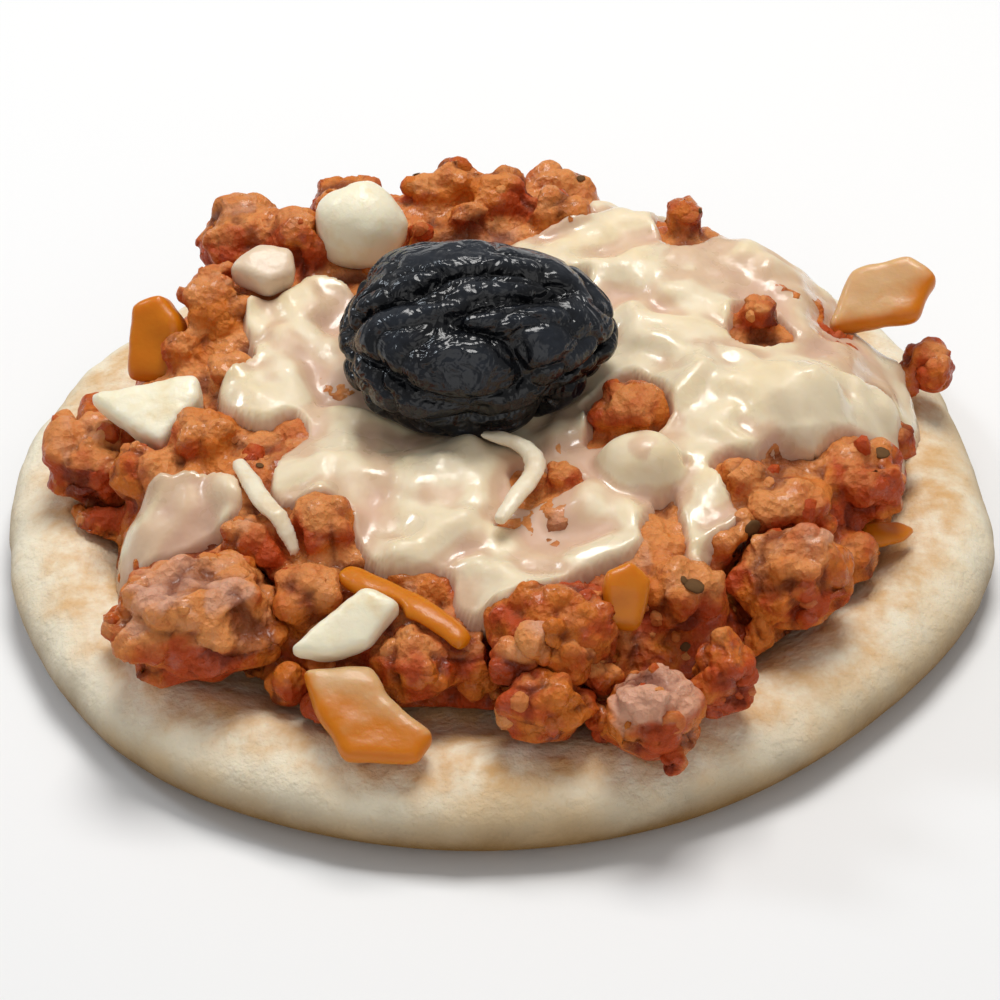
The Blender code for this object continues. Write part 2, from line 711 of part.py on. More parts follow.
def make_olive(support, finish):
    """The olive: folds that run from end to end, deepest in the middle of its length."""
    builder = bmesh.new()
    bmesh.ops.create_uvsphere(builder, u_segments=OLIVE_SEGMENTS, v_segments=OLIVE_RINGS, radius=1)
    builder.transform(Matrix.Rotation(math.pi / 2, 4, "Y"))
    for vertex in builder.verts:
        direction = vertex.co.normalized()
        around = math.atan2(direction.z, direction.y)
        bend = 0.5 * noise.noise(direction * 1.4)
        folds = math.sin(OLIVE_FOLDS * (around + bend)) * (1 - direction.x**4)
        dents = noise.noise(direction * 2.6 + Vector((4.0, 1.0, 2.0)))
        vertex.co = direction * (1 + OLIVE_FOLD_DEPTH * folds + OLIVE_DENT_DEPTH * dents)
    half = Vector(OLIVE_SIZE) * (0.5 * MM)
    turn = Matrix.Rotation(math.radians(OLIVE_TURN), 4, "Z")
    builder.transform(Matrix.Translation(Vector(OLIVE_MIDDLE) * MM) @ turn @ Matrix.Diagonal((*half, 1)))
    olive = object_from(builder, "black_olive", finish)
    keep_above(olive, support, None, GAP)
    return olive


def make_large_lumps(support, finish):
    made = []
    for number, (name, (middle, size)) in enumerate(LARGE_LUMPS.items()):
        detail = 3 if max(size) >= VERY_FINE_LUMP_SIZE else 2
        middle, size = Vector(middle) * MM, Vector(size) * MM
        lump = rough_ball(name, middle, size, detail, finish, number + 0.5, LARGE_LUMP_ROUGHNESS)
        keep_above(lump, support, {"bread_base"}, GAP)
        made.append(lump)
    return made


def make_slabs(pieces, support, finish):
    made = []
    for name, (outline, thickness, middle, turns) in pieces.items():
        piece = slab(name, outline, thickness, middle, turns, finish)
        keep_above(piece, support, {"bread_base"}, GAP)
        made.append(piece)
    return made


def main():
    for obj in list(bpy.data.objects):
        bpy.data.objects.remove(obj)
    bread_finish = finish_of("bread", (0.76, 0.62, 0.40), 0.7)
    meat_finish = finish_of("mince", (0.42, 0.14, 0.04), 0.45)
    melted_finish = finish_of("melted_cheese", (0.76, 0.62, 0.42), 0.3)
    cheese_finish = finish_of("cheese", (0.88, 0.80, 0.58), 0.4)
    onion_finish = finish_of("onion", (0.60, 0.24, 0.03), 0.25)
    olive_finish = finish_of("olive", (0.01, 0.011, 0.013), 0.25)

    support = Support()
    bread = turned_body("bread_base", bread_profile, BREAD_SEGMENTS, bread_finish)
    support.add(bread)
    heap = make_heap(support, meat_finish)
    support.add(heap)
    large_lumps = make_large_lumps(support, meat_finish)
    for lump in large_lumps:
        support.add(lump)
    sheets = [
        cheese_sheet("melted_cheese", CHEESE_LOBES, CHEESE_HOLES, support, melted_finish),
        cheese_sheet("melted_cheese_left", LEFT_PATCH_LOBES, (), support, melted_finish),
    ]
    for sheet in sheets:
        support.add(sheet)
    strips = [
        strip(name, plan, width, thickness, support, onion_finish if "onion" in name else cheese_finish)
        for name, (plan, width, thickness) in STRIPS.items()
    ]
    onions = make_slabs(ONION_PIECES, support, onion_finish)
    cheeses = make_slabs(CHEESE_PIECES, support, cheese_finish)
    middle, size = (Vector(values) * MM for values in ROUND_CHEESE)
    cheeses.append(
        rough_ball("cheese_piece_back", middle, size, 2, cheese_finish, 2, ROUND_CHEESE_ROUGHNESS)
    )
    olive = make_olive(support, olive_finish)

    laid = [olive, *cheeses, *onions, *strips, *large_lumps, *sheets, heap]
    for place, target in enumerate(laid):
        for piece in laid[:place]:
            if piece not in sheets:
                carve(target, piece)


if __name__ == "__main__":
    main()
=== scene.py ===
"""The looks of a mini pizza with minced meat, melted cheese, onion and one black olive, laid out as an add-on."""

import math

import bmesh
import bpy
import numpy as np
from bpy.props import FloatProperty, FloatVectorProperty, IntProperty, PointerProperty
from mathutils import Matrix, Vector


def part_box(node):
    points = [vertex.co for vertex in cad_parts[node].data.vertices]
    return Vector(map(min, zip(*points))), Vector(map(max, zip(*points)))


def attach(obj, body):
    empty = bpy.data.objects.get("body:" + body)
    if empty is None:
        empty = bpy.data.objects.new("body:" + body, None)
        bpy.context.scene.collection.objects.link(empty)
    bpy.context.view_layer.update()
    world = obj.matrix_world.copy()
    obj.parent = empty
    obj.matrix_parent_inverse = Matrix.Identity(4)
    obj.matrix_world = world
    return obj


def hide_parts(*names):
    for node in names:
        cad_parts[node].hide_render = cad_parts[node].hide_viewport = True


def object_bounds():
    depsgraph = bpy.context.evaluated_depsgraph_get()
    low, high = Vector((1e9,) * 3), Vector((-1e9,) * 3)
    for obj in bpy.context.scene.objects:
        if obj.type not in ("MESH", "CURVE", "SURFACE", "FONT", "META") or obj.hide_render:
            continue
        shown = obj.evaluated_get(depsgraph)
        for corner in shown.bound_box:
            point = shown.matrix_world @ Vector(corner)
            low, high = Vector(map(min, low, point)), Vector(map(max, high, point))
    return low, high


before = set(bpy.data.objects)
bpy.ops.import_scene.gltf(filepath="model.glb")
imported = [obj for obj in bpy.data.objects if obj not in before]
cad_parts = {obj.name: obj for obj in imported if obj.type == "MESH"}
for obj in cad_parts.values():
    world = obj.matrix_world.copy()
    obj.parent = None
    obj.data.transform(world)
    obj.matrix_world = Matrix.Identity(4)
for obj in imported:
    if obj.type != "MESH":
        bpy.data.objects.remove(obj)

bl_info = {
    "name": "Mini pizza with minced meat",
    "version": (1, 0, 0),
    "blender": (4, 5, 0),
    "location": "3D View > Sidebar > Mini pizza",
    "description": "Makes each piece of a small pizza topped with minced meat, cheese, onion and an olive",
    "category": "Add Mesh",
}

MM = 0.001
BODY = "root"
CAD_BOX = [list(corner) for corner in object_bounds()]
MEAT_NODES = sorted(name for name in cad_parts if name.startswith(("minced_meat", "meat_lump")))
CHEESE_PIECES = sorted(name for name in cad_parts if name.startswith(("cheese_piece", "cheese_shred")))
# How far pieces of cheese have begun to melt.
SOFT_CHEESE = {
    "cheese_piece_upper_left": 0.75,
    "cheese_shred_left": 0.4,
    "cheese_shred_middle": 0.5,
    "cheese_piece_front": 0.15,
}
# Which way the pale part of an onion piece lies, and how pale its middle is.
PALE_ONION = {"onion_right": ((-0.5, 0.3, 0.8), 0.35), "onion_front": ((0.25, 0.5, 0.8), 0.1)}
ONION_NODES = sorted(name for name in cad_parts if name.startswith("onion"))
SHEET_NODES = ("melted_cheese", "melted_cheese_left")
# The larger flakes of herb: x, y and half size, in mm.
HERB_FLAKES = ((21.6, -20.6, 1.1), (15.4, -26.6, 1.0), (32.0, -9.8, 0.8))
# Cube size and smoothing passes for the copies of unmelted cheese: together they say how far edges are rounded.
CHEESE_ROUNDING = {
    "cheese_piece_back": (0.4 * MM, 12),
    "cheese_shred_left": (0.2 * MM, 5),
    "cheese_shred_middle": (0.2 * MM, 5),
    "others": (0.26 * MM, 16),
}
# Where the melted cheese is thick and pale, or so thin that the mince shows: x, y, half sizes along x and y,
# and added thickness, in mm.
THICK_CHEESE = (
    (24.9, -5.0, 5.0, 4.6, 1.9),
    (32.6, -3.2, 3.2, 3.4, 1.0),
    (14.5, 3.2, 6.2, 5.0, 0.9),
    (16.8, -5.4, 4.4, 4.4, 1.0),
    (16.6, -13.4, 2.4, 3.4, 0.8),
    (16.6, -21.4, 2.2, 2.6, 0.8),
    (11.9, 19.6, 2.6, 2.4, 1.5),
    (13.4, 13.4, 5.4, 2.6, 0.8),
    (7.0, 12.6, 4.0, 2.2, 0.7),
    (22.6, 16.4, 3.2, 2.4, 0.5),
    (-4.3, -12.5, 5.2, 3.8, 0.9),
    (-4.8, -18.0, 3.6, 2.4, 1.0),
    (-7.4, -21.2, 3.4, 2.0, 1.0),
    (0.2, -25.2, 3.0, 2.0, 0.7),
    (9.4, -17.6, 2.6, 2.0, 0.8),
    (6.4, -22.0, 4.0, 1.8, 0.5),
    (-19.2, 11.0, 2.6, 3.0, 0.7),
    (-16.6, 4.4, 2.6, 3.0, 0.5),
    (-19.6, -2.0, 3.4, 2.2, 0.9),
    (-14.2, -4.2, 2.6, 3.0, 0.5),
    (-15.6, -10.8, 4.0, 2.2, 0.8),
    (-27.0, -12.8, 4.0, 3.0, 0.6),
    (30.8, -8.2, 1.7, 2.0, -1.7),
    (-13.8, -0.6, 1.3, 2.4, -1.5),
    (-9.6, -15.2, 1.8, 1.2, -0.6),
    (22.4, 23.0, 8.0, 5.0, -0.4),
    (-17.0, 8.0, 4.0, 8.0, -0.35),
    (31.0, 8.0, 4.0, 5.0, -0.3),
    (16.6, -19.0, 2.6, 4.0, -0.4),
    (5.6, -19.0, 5.0, 3.4, -0.3),
    (-26.6, -12.0, 4.0, 4.0, -0.6),
)
# Where the sheet runs on over the mince or leaves it bare: x, y, half sizes along x and y in mm, and a share.
CHEESE_REACH = (
    (11.4, -13.0, 3.0, 2.6, 1.1),
    (5.8, -10.4, 2.8, 3.2, 0.9),
    (29.6, 7.4, 4.6, 3.6, 0.7),
    (6.6, 21.6, 3.2, 3.0, -1.2),
    (33.2, 0.8, 1.5, 1.7, -0.9),
    (15.6, -12.6, 1.0, 1.2, -0.5),
    (19.2, -22.4, 3.0, 2.2, -1.2),
    (36.6, -3.6, 2.2, 3.4, -1.3),
    (13.2, -19.4, 1.7, 2.2, -1.1),
    (-25.0, -6.4, 3.2, 2.0, -0.9),
    (1.2, -18.2, 1.3, 0.9, -0.6),
)
# Thick round blobs in the large sheet: x, y, half sizes along x, y and z, and how far the top rises, in mm.
CHEESE_BLOBS = (
    (11.8, -12.4, 3.6, 2.9, 3.0, 2.5),
    (25.0, -4.8, 4.3, 4.0, 4.0, 4.5),
    (31.6, -1.4, 2.8, 2.8, 2.4, 2.0),
    (-18.0, -1.0, 3.2, 2.6, 2.0, 1.4),
    (-5.0, -12.4, 4.4, 3.2, 1.8, 1.5),
    (16.6, -16.4, 1.9, 3.4, 1.4, 0.5),
    (11.8, 20.0, 2.6, 2.2, 2.4, 2.0),
    (15.6, 2.6, 5.0, 3.6, 2.0, 1.6),
)
# Bits of mince at set places: x, y, z and half size, in mm.
MINCE_BITS = (
    (38.3, 8.2, 10.2, 2.5),
    (1.0, -32.6, 13.0, 2.1),
    (5.4, -32.8, 13.2, 2.2),
    (3.2, -32.2, 14.2, 1.8),
    (7.6, -32.4, 11.4, 1.9),
    (7.8, -35.0, 8.4, 1.5),
    (16.4, -33.4, 9.0, 1.6),
    (12.8, -39.4, 8.0, 1.2),
    (-14.6, -25.6, 9.4, 2.1),
    (-17.4, -28.6, 8.4, 1.7),
    (-30.4, -21.0, 9.6, 1.4),
    (24.2, -21.4, 9.8, 1.8),
    (20.6, -25.6, 8.8, 1.6),
)


# Noise on arrays of points


def hashed(cells, seed):
    """A number from 0 to 1 for each whole-number cell: its coordinates times large primes, mixed by shifts."""
    mask = 0xFFFFFFFF
    primes = np.array([374761393, 668265263, 1440662683], np.int64)
    value = ((cells * primes) & mask).sum(-1) + seed * 1274126177
    value = (((value & mask) ^ ((value & mask) >> 13)) * 1103515245) & mask
    value = ((value ^ (value >> 16)) * 668265263) & mask
    return ((value ^ (value >> 15)) & 0xFFFFFF) / 0xFFFFFF


def smooth_noise(points, size, seed=0):
    """Noise from -1 to 1: random numbers on a lattice of that size, blended by smooth steps between corners."""
    place = points / size
    cell = np.floor(place).astype(np.int64)
    part = place - cell
    part = part * part * (3 - 2 * part)
    total = 0.0
    for corner in np.ndindex(2, 2, 2):
        weight = np.prod(np.where(corner, part, 1 - part), axis=-1)
        total = total + weight * hashed(cell + corner, seed)
    return 2 * total - 1


def rough_noise(points, size, octaves, seed=0):
    """Octaves of noise added up, each half the size and a little over half the height of the one before."""
    total, height, reach = 0.0, 1.0, 0.0
    for octave in range(octaves):
        total = total + height * smooth_noise(points, size / 2**octave, seed + octave)
        reach += height
        height *= 0.55
    return total / reach


def granules(points, size, seed):
    """Distance, in cells, to the nearest of the random spots in a lattice of cells, and that spot's own number."""
    place = points / size
    home = np.floor(place).astype(np.int64)
    nearest = np.full(len(points), 9.0)
    own = np.zeros(len(points))
    for step in np.ndindex(3, 3, 3):
        cell = home + np.array(step) - 1
        spot = cell + np.stack([hashed(cell, seed + axis) for axis in range(3)], -1)
        away = np.linalg.norm(place - spot, axis=-1)
        own = np.where(away < nearest, hashed(cell, seed + 9), own)
        nearest = np.minimum(nearest, away)
    return nearest, own


def smooth_step(low, high, value):
    part = np.clip((value - low) / (high - low), 0, 1)
    return part * part * (3 - 2 * part)


# Meshes in and out of arrays


def arrays_of(mesh):
    """Points, faces and normals of a mesh. Faces are None where they have different numbers of corners."""
    points = np.empty(len(mesh.vertices) * 3, np.float32)
    mesh.vertices.foreach_get("co", points)
    normals = np.empty(len(mesh.vertices) * 3, np.float32)
    mesh.vertex_normals.foreach_get("vector", normals)
    corners = np.empty(len(mesh.loops), np.int32)
    mesh.loops.foreach_get("vertex_index", corners)
    even = len(corners) % max(len(mesh.polygons), 1) == 0
    faces = corners.reshape(len(mesh.polygons), -1) if even else None
    return points.reshape(-1, 3).astype(float), faces, normals.reshape(-1, 3).astype(float)


def refined(node, voxel, passes):
    """Points, faces and normals of a CAD node's copy: merged, remeshed in cubes of that size, and smoothed."""
    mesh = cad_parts[node].data.copy()
    builder = bmesh.new()
    builder.from_mesh(mesh)
    bmesh.ops.remove_doubles(builder, verts=builder.verts, dist=1e-6)
    builder.to_mesh(mesh)
    builder.free()
    copy = bpy.data.objects.new("copy", mesh)
    bpy.context.scene.collection.objects.link(copy)
    remesh = copy.modifiers.new("remesh", "REMESH")
    remesh.mode = "VOXEL"
    remesh.voxel_size = voxel
    smooth = copy.modifiers.new("smooth", "SMOOTH")
    smooth.factor = 0.5
    smooth.iterations = passes
    evaluated = copy.evaluated_get(bpy.context.evaluated_depsgraph_get())
    found = arrays_of(evaluated.to_mesh())
    evaluated.to_mesh_clear()
    bpy.data.objects.remove(copy)
    bpy.data.meshes.remove(mesh)
    return found


def new_piece(name, points, faces, finish, slot, stands_for=(), **attributes):
    """A smooth object of those points and faces on its body. Attributes are one number a point, or one for all."""
    mesh = bpy.data.meshes.new(name)
    mesh.from_pydata(points, [], faces)
    mesh.shade_smooth()
    for word, values in attributes.items():
        layer = mesh.attributes.new(word, "FLOAT", "POINT")
        layer.data.foreach_set("value", np.broadcast_to(values, len(points)).astype(np.float32))
    mesh.materials.append(finish)
    piece = bpy.data.objects.new(name, mesh)
    bpy.context.scene.collection.objects.link(piece)
    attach(piece, BODY)
    if stands_for:
        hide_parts(*stands_for)
    return piece


def grid_faces(rows, columns):
    """Four-cornered faces of a grid whose points run row by row; its columns close on themselves."""
    row, column = np.meshgrid(np.arange(rows - 1), np.arange(columns), indexing="ij")
    after = (column + 1) % columns
    this_row, next_row = row * columns, (row + 1) * columns
    corners = (this_row + column, this_row + after, next_row + after, next_row + column)
    return np.stack(corners, -1).reshape(-1, 4)


# Shaders


class Socket:
    """A node's output in an expression. Each operator adds the Math node that works it out."""

    def __init__(self, finish, output):
        self.finish = finish
        self.output = output

    def math(self, operation, *values, clamp=False):
        return self.finish.node(
            "ShaderNodeMath", {"operation": operation, "use_clamp": clamp}, dict(enumerate(values))
        )

    def __add__(self, other):
        return self.math("ADD", self, other)

    def __sub__(self, other):
        return self.math("SUBTRACT", self, other)

    def __rsub__(self, other):
        return self.math("SUBTRACT", other, self)

    def __mul__(self, other):
        return self.math("MULTIPLY", self, other)

    def __pow__(self, other):
        return self.math("POWER", self, other)

    __radd__ = __add__
    __rmul__ = __mul__

    def between(self, low, high):
        """0 below low, 1 above high and a smooth step between them; low may be the larger one."""
        return self.finish.node(
            "ShaderNodeMapRange",
            {"interpolation_type": "SMOOTHSTEP", "clamp": True},
            {"Value": self, "From Min": low, "From Max": high},
        )


class Finish:
    """A material in the making: any node by one method, and the few that are used most by their own."""

    def __init__(self, name):
        self.material = bpy.data.materials.new(name)
        self.material.use_nodes = True
        self.tree = self.material.node_tree
        self.shader = self.tree.nodes["Principled BSDF"]
        self.place = self.node("ShaderNodeTexCoord", output="Object")

    def feed(self, socket, value):
        if isinstance(value, Socket):
            self.tree.links.new(value.output, socket)
        else:
            socket.default_value = value

    def node(self, kind, settings=None, inputs=None, output=0):
        made = self.tree.nodes.new(kind)
        for word, value in (settings or {}).items():
            setattr(made, word, value)
        for word, value in (inputs or {}).items():
            self.feed(made.inputs[word], value)
        return Socket(self, made.outputs[output])

    def noise(self, size, detail=3.0, roughness=0.55, distortion=0.0):
        """Noise from 0 to 1 with features about that size, in metres."""
        inputs = {"Vector": self.place, "Scale": 1 / size, "Detail": detail}
        inputs.update(Roughness=roughness, Distortion=distortion)
        return self.node("ShaderNodeTexNoise", None, inputs)

    def cells(self, size, feature="F1", output="Distance"):
        inputs = {"Vector": self.place, "Scale": 1 / size}
        return self.node("ShaderNodeTexVoronoi", {"feature": feature}, inputs, output)

    def attribute(self, name):
        return self.node("ShaderNodeAttribute", {"attribute_name": name}, output="Fac")

    def mix(self, factor, first, second, blend="MIX"):
        """One colour into another: first where the factor is 0 and second where it is 1."""
        settings = {"data_type": "RGBA", "blend_type": blend}
        return self.node("ShaderNodeMix", settings, {0: factor, 6: first, 7: second}, 2)

    def height(self):
        return self.node("ShaderNodeSeparateXYZ", None, {0: self.place}, "Z")

    def bump(self, height, distance, strength=1.0):
        inputs = {"Height": height, "Distance": distance, "Strength": strength}
        self.feed(self.shader.inputs["Normal"], self.node("ShaderNodeBump", None, inputs))

    def set(self, **values):
        """Sets or links the shader's sockets, with _ for each space in a socket's name."""
        for word, value in values.items():
            self.feed(self.shader.inputs[word.replace("_", " ")], value)
        return self.material


def colour(values):
    return (*values, 1.0)


# What a user would change


def shade(name, description, default):
    return FloatVectorProperty(
        name=name, description=description, default=default, subtype="COLOR", size=3, min=0, max=1
    )


def length(name, description, default):
    return FloatProperty(name=name, description=description, default=default, unit="LENGTH", precision=5)


class BreadSettings(bpy.types.PropertyGroup):
    edge_rounding: length("Edge rounding", "How far the rounded edge reaches inwards", 5.5 * MM)
    rim_slope: length("Rim slope", "How far the rim takes to fall into the well", 7 * MM)
    well: length("Well height", "Height of the middle of the bread", 5.6 * MM)
    dent_depth: length("Dent depth", "Depth of the soft dents in the crust", 1.1 * MM)
    crumb: shade("Crumb", "Pale, soft dough", (0.88, 0.80, 0.62))
    baked: shade("Baked", "Dough that has taken a little colour", (0.72, 0.55, 0.34))
    toasted: shade("Toasted", "The browned patches", (0.60, 0.37, 0.16))
    # The under colour is partly the browner underside of the dough and partly painted shade on the lower edge.
    under: shade("Under", "The darker lower edge", (0.20, 0.105, 0.026))
    sauce: shade("Sauce", "Oil and sauce soaked in beside the mince", (0.66, 0.36, 0.12))


class MinceSettings(bpy.types.PropertyGroup):
    voxel: length("Voxel", "Cube size of the remeshed heap", 0.38 * MM)
    lump_voxel: length("Lump voxel", "Cube size of the remeshed large lumps", 0.24 * MM)
    chunk: length("Chunk", "Size of a chunk of mince that stands out or lies back", 3.9 * MM)
    chunk_depth: length("Chunk depth", "How far chunks stand out", 1.1 * MM)
    granule: length("Granule", "Size of a grain of mince", 2.3 * MM)
    granule_depth: length("Granule depth", "Depth of the creases between grains", 0.62 * MM)
    fine: length("Fine grain", "Size of the fine grain", 1.2 * MM)
    fine_depth: length("Fine depth", "Depth of the fine grain", 0.24 * MM)
    # Tan is the meat's fried colour and also painted light: the tone mask lays it most on faces that point up.
    tan: shade("Tan", "The lighter fried faces", (0.68, 0.25, 0.07))
    red: shade("Red", "Meat coloured by tomato", (0.44, 0.058, 0.008))
    orange: shade("Orange", "Meat soaked in oil and tomato", (0.60, 0.16, 0.018))
    pink: shade("Pink", "The least fried lumps", (0.66, 0.34, 0.22))
    # Painted shade: the dark colour laid in the creases between grains and along the seams between chunks.
    crease: shade("Crease", "The dark creases between grains", (0.12, 0.012, 0.003))


class MeltedSettings(bpy.types.PropertyGroup):
    cell: length("Cell", "Grid size of the sheet", 0.28 * MM)
    edge_blur: length("Edge blur", "How far the sheet thins towards its edge", 0.8 * MM)
    film_depth: length("Film depth", "Thickness of the thinnest film over the grain", 0.22 * MM)
    shred_spacing: length("Shred spacing", "Mean distance of half-melted shreds", 3.6 * MM)
    dive: length("Dive", "How far the edge sinks under the grain", 2.0 * MM)
    thick: shade("Thick", "Where the cheese is thickest", (0.80, 0.67, 0.47))
    cream: shade("Cream", "Its yellower places", (0.81, 0.64, 0.385))
    middle: shade("Middle", "Where it is of middling thickness", (0.68, 0.475, 0.31))
    film: shade("Film", "A film with the mince showing through", (0.65, 0.42, 0.29))


class PieceSettings(bpy.types.PropertyGroup):
    cheese: shade("Cheese", "Unmelted cheese", (0.90, 0.83, 0.63))
    rind: shade("Shaded cheese", "The yellower places of unmelted cheese", (0.82, 0.68, 0.42))
    softened: shade("Softened cheese", "Pieces that have begun to melt", (0.70, 0.52, 0.37))
    onion_light: shade("Onion, light", "The pale faces of the onion", (0.62, 0.38, 0.18))
    onion_deep: shade("Onion, deep", "The amber edges of the onion", (0.58, 0.175, 0.004))
    crumb_count: IntProperty(name="Crumbs", description="Loose crumbs of mince", default=280, min=0, max=3000)
    herb_count: IntProperty(name="Herbs", description="Specks of dried herb", default=16, min=0, max=300)


class OliveSettings(bpy.types.PropertyGroup):
    fold_size: FloatProperty(name="Fold size", description="Width of a fold against the radius", default=0.46)
    fold_depth: length("Fold depth", "Depth of the long wrinkles", 1.9 * MM)
    skin: shade("Skin", "The black skin", (0.0035, 0.004, 0.0055))
    # Painted sheen: the bluish colour laid on the ridges of the black skin.
    painted_sheen: shade("Bloom", "The bluish bloom on the ridges", (0.016, 0.020, 0.028))


class StageSettings(bpy.types.PropertyGroup):
    aim: FloatVectorProperty(
        name="Aim", description="Where the camera looks", default=(0.359 * MM, 0, 4.084 * MM), subtype="XYZ"
    )
    distance: length("Distance", "From the camera to where it looks", 320 * MM)
    elevation: FloatProperty(
        name="Elevation", description="Above the horizon", default=math.radians(37.42), subtype="ANGLE"
    )
    roll: FloatProperty(
        name="Roll", description="Turn of the camera", default=math.radians(-2.448), subtype="ANGLE"
    )
    lens: FloatProperty(name="Lens", description="Focal length in millimetres", default=133.63)
    floor: shade("Floor", "The plain pale floor", (0.86, 0.86, 0.86))


class PizzaSettings(bpy.types.PropertyGroup):
    bread: PointerProperty(type=BreadSettings)
    mince: PointerProperty(type=MinceSettings)
    melted: PointerProperty(type=MeltedSettings)
    pieces: PointerProperty(type=PieceSettings)
    olive: PointerProperty(type=OliveSettings)
    stage: PointerProperty(type=StageSettings)


# Finishes


def bread_finish(settings):
    finish = Finish("bread")
    wide = finish.noise(12 * MM, 2)
    mottle = finish.noise(3.4 * MM, 4, 0.6)
    specks = finish.noise(0.8 * MM, 3, 0.6)
    height = finish.height()
    side = height.between(7.2 * MM, 3.0 * MM)
    blotches = (wide * 0.65 + mottle * 0.35 + side * 0.1).between(0.49, 0.75)
    pale = finish.mix(blotches, colour(settings.crumb), colour(settings.baked))
    # low darkens the lower edge towards under: partly the browner underside, partly painted shade.
    low = (height + mottle * (2.0 * MM)).between(7.6 * MM, 2.2 * MM)
    pale = finish.mix(low, pale, colour(settings.under))
    patches = (finish.noise(8 * MM, 3, 0.6) + mottle * 0.25).between(0.70, 0.92)
    brown = finish.mix(patches * 0.35, pale, colour(settings.toasted))
    soaked = finish.attribute("soaked") * mottle.between(0.25, 0.7) * 0.8
    stained = finish.mix(soaked, brown, colour(settings.sauce))
    flecked = finish.mix(specks.between(0.60, 0.8) * 0.16, stained, colour(settings.toasted))
    finish.bump(mottle * 0.7 + specks * 0.4, 0.9 * MM, 0.7)
    return finish.set(
        Base_Color=flecked,
        Roughness=0.62 + specks * 0.2,
        Subsurface_Weight=0.12,
        Subsurface_Radius=(3.0, 2.0, 1.0),
        Subsurface_Scale=0.8 * MM,
        Specular_IOR_Level=0.2,
    )


def mince_finish(settings):
    finish = Finish("mince")
    tone = finish.attribute("tone")
    crease = finish.attribute("crease")
    pinkness = finish.attribute("pinkness")
    patch = finish.noise(5.0 * MM, 3)
    grain = finish.noise(0.7 * MM, 4, 0.65)
    meat = finish.mix(patch.between(0.44, 0.6), colour(settings.red), colour(settings.orange))
    # The tone holds painted light on up-facing points and painted shade low on the heap, besides each grain's
    # random tone, so tan falls on tops, red low down, and up-facing places also turn pinker.
    faces = (tone + finish.noise(6.0 * MM, 2) * 1.1 + grain * 0.25).between(0.95, 1.5)
    meat = finish.mix(faces, meat, colour(settings.tan))
    rosy = (tone * 0.9 + pinkness + finish.noise(4 * MM, 2) * 0.7).between(1.02, 1.4)
    meat = finish.mix(rosy, meat, colour(settings.pink))
    # Painted shade in the creases between grains and chunks.
    dark = (crease + grain * 0.25).between(0.38, 1.1)
    meat = finish.mix(dark * 0.75, meat, colour(settings.crease))
    wet = finish.noise(2.2 * MM, 3).between(0.48, 0.62)
    finish.bump(grain + finish.cells(0.6 * MM) * 0.8, 0.34 * MM, 0.9)
    return finish.set(
        Base_Color=meat,
        Roughness=0.52 - wet * 0.28,
        Coat_Weight=wet * 0.35,
        Coat_Roughness=0.12,
        Specular_IOR_Level=0.2,
        Subsurface_Weight=0.15,
        Subsurface_Radius=(3.0, 0.8, 0.4),
        Subsurface_Scale=0.5 * MM,
    )


def melted_finish(settings):
    finish = Finish("melted_cheese")
    depth = finish.attribute("depth")
    patch = finish.noise(4.5 * MM, 3)
    fine = finish.noise(1.2 * MM, 3, 0.6)
    uneven = (patch - 0.5) * 0.35 + (fine - 0.5) * 0.2
    thin = (depth + uneven).between(0.88, 0.4)
    thinner = (depth + uneven).between(0.38, 0.06)
    creamy = finish.noise(6 * MM, 2).between(0.42, 0.7) * 0.6
    cheese = finish.mix(creamy, colour(settings.thick), colour(settings.cream))
    cheese = finish.mix(thin, cheese, colour(settings.middle))
    cheese = finish.mix(thinner, cheese, colour(settings.film))
    wet = finish.noise(3.4 * MM, 3).between(0.44, 0.62)
    finish.bump(finish.noise(1.9 * MM, 2, 0.5), 0.25 * MM, 0.5)
    return finish.set(
        Base_Color=cheese,
        Roughness=0.5 - wet * 0.26,
        Coat_Weight=wet * 0.6,
        Coat_Roughness=0.08,
        Subsurface_Weight=0.3,
        Subsurface_Radius=(2.2, 1.5, 0.8),
        Subsurface_Scale=0.8 * MM,
    )


def cheese_finish(settings):
    finish = Finish("cheese")
    patch = finish.noise(2.6 * MM, 3)
    soft = (finish.attribute("soft") + (patch - 0.5) * 0.6).between(0.0, 1.0)
    tinted = finish.mix(patch.between(0.45, 0.78), colour(settings.cheese), colour(settings.rind))
    tinted = finish.mix(soft, tinted, colour(settings.softened))
    grain = finish.noise(0.5 * MM, 3)
    finish.bump(grain, 0.12 * MM, 0.5)
    return finish.set(
        Base_Color=tinted,
        Roughness=0.4,
        Coat_Weight=0.15,
        Coat_Roughness=0.15,
        Subsurface_Weight=0.35,
        Subsurface_Radius=(2.2, 1.7, 1.0),
        Subsurface_Scale=1.0 * MM,
    )


def onion_finish(settings):
    finish = Finish("onion")
    pale = finish.attribute("pale")
    patch = finish.noise(3.2 * MM, 3)
    veins = finish.noise(0.6 * MM, 2)
    light = (pale + patch * 0.7).between(0.62, 1.15)
    tinted = finish.mix(light, colour(settings.onion_deep), colour(settings.onion_light))
    finish.bump(veins * 0.3 + patch, 0.25 * MM, 0.5)
    return finish.set(
        Base_Color=tinted,
        Roughness=0.36,
        Specular_IOR_Level=0.25,
        Coat_Weight=0.15,
        Coat_Roughness=0.1,
        Subsurface_Weight=0.5,
        Subsurface_Radius=(3.0, 1.4, 0.4),
        Subsurface_Scale=1.0 * MM,
    )


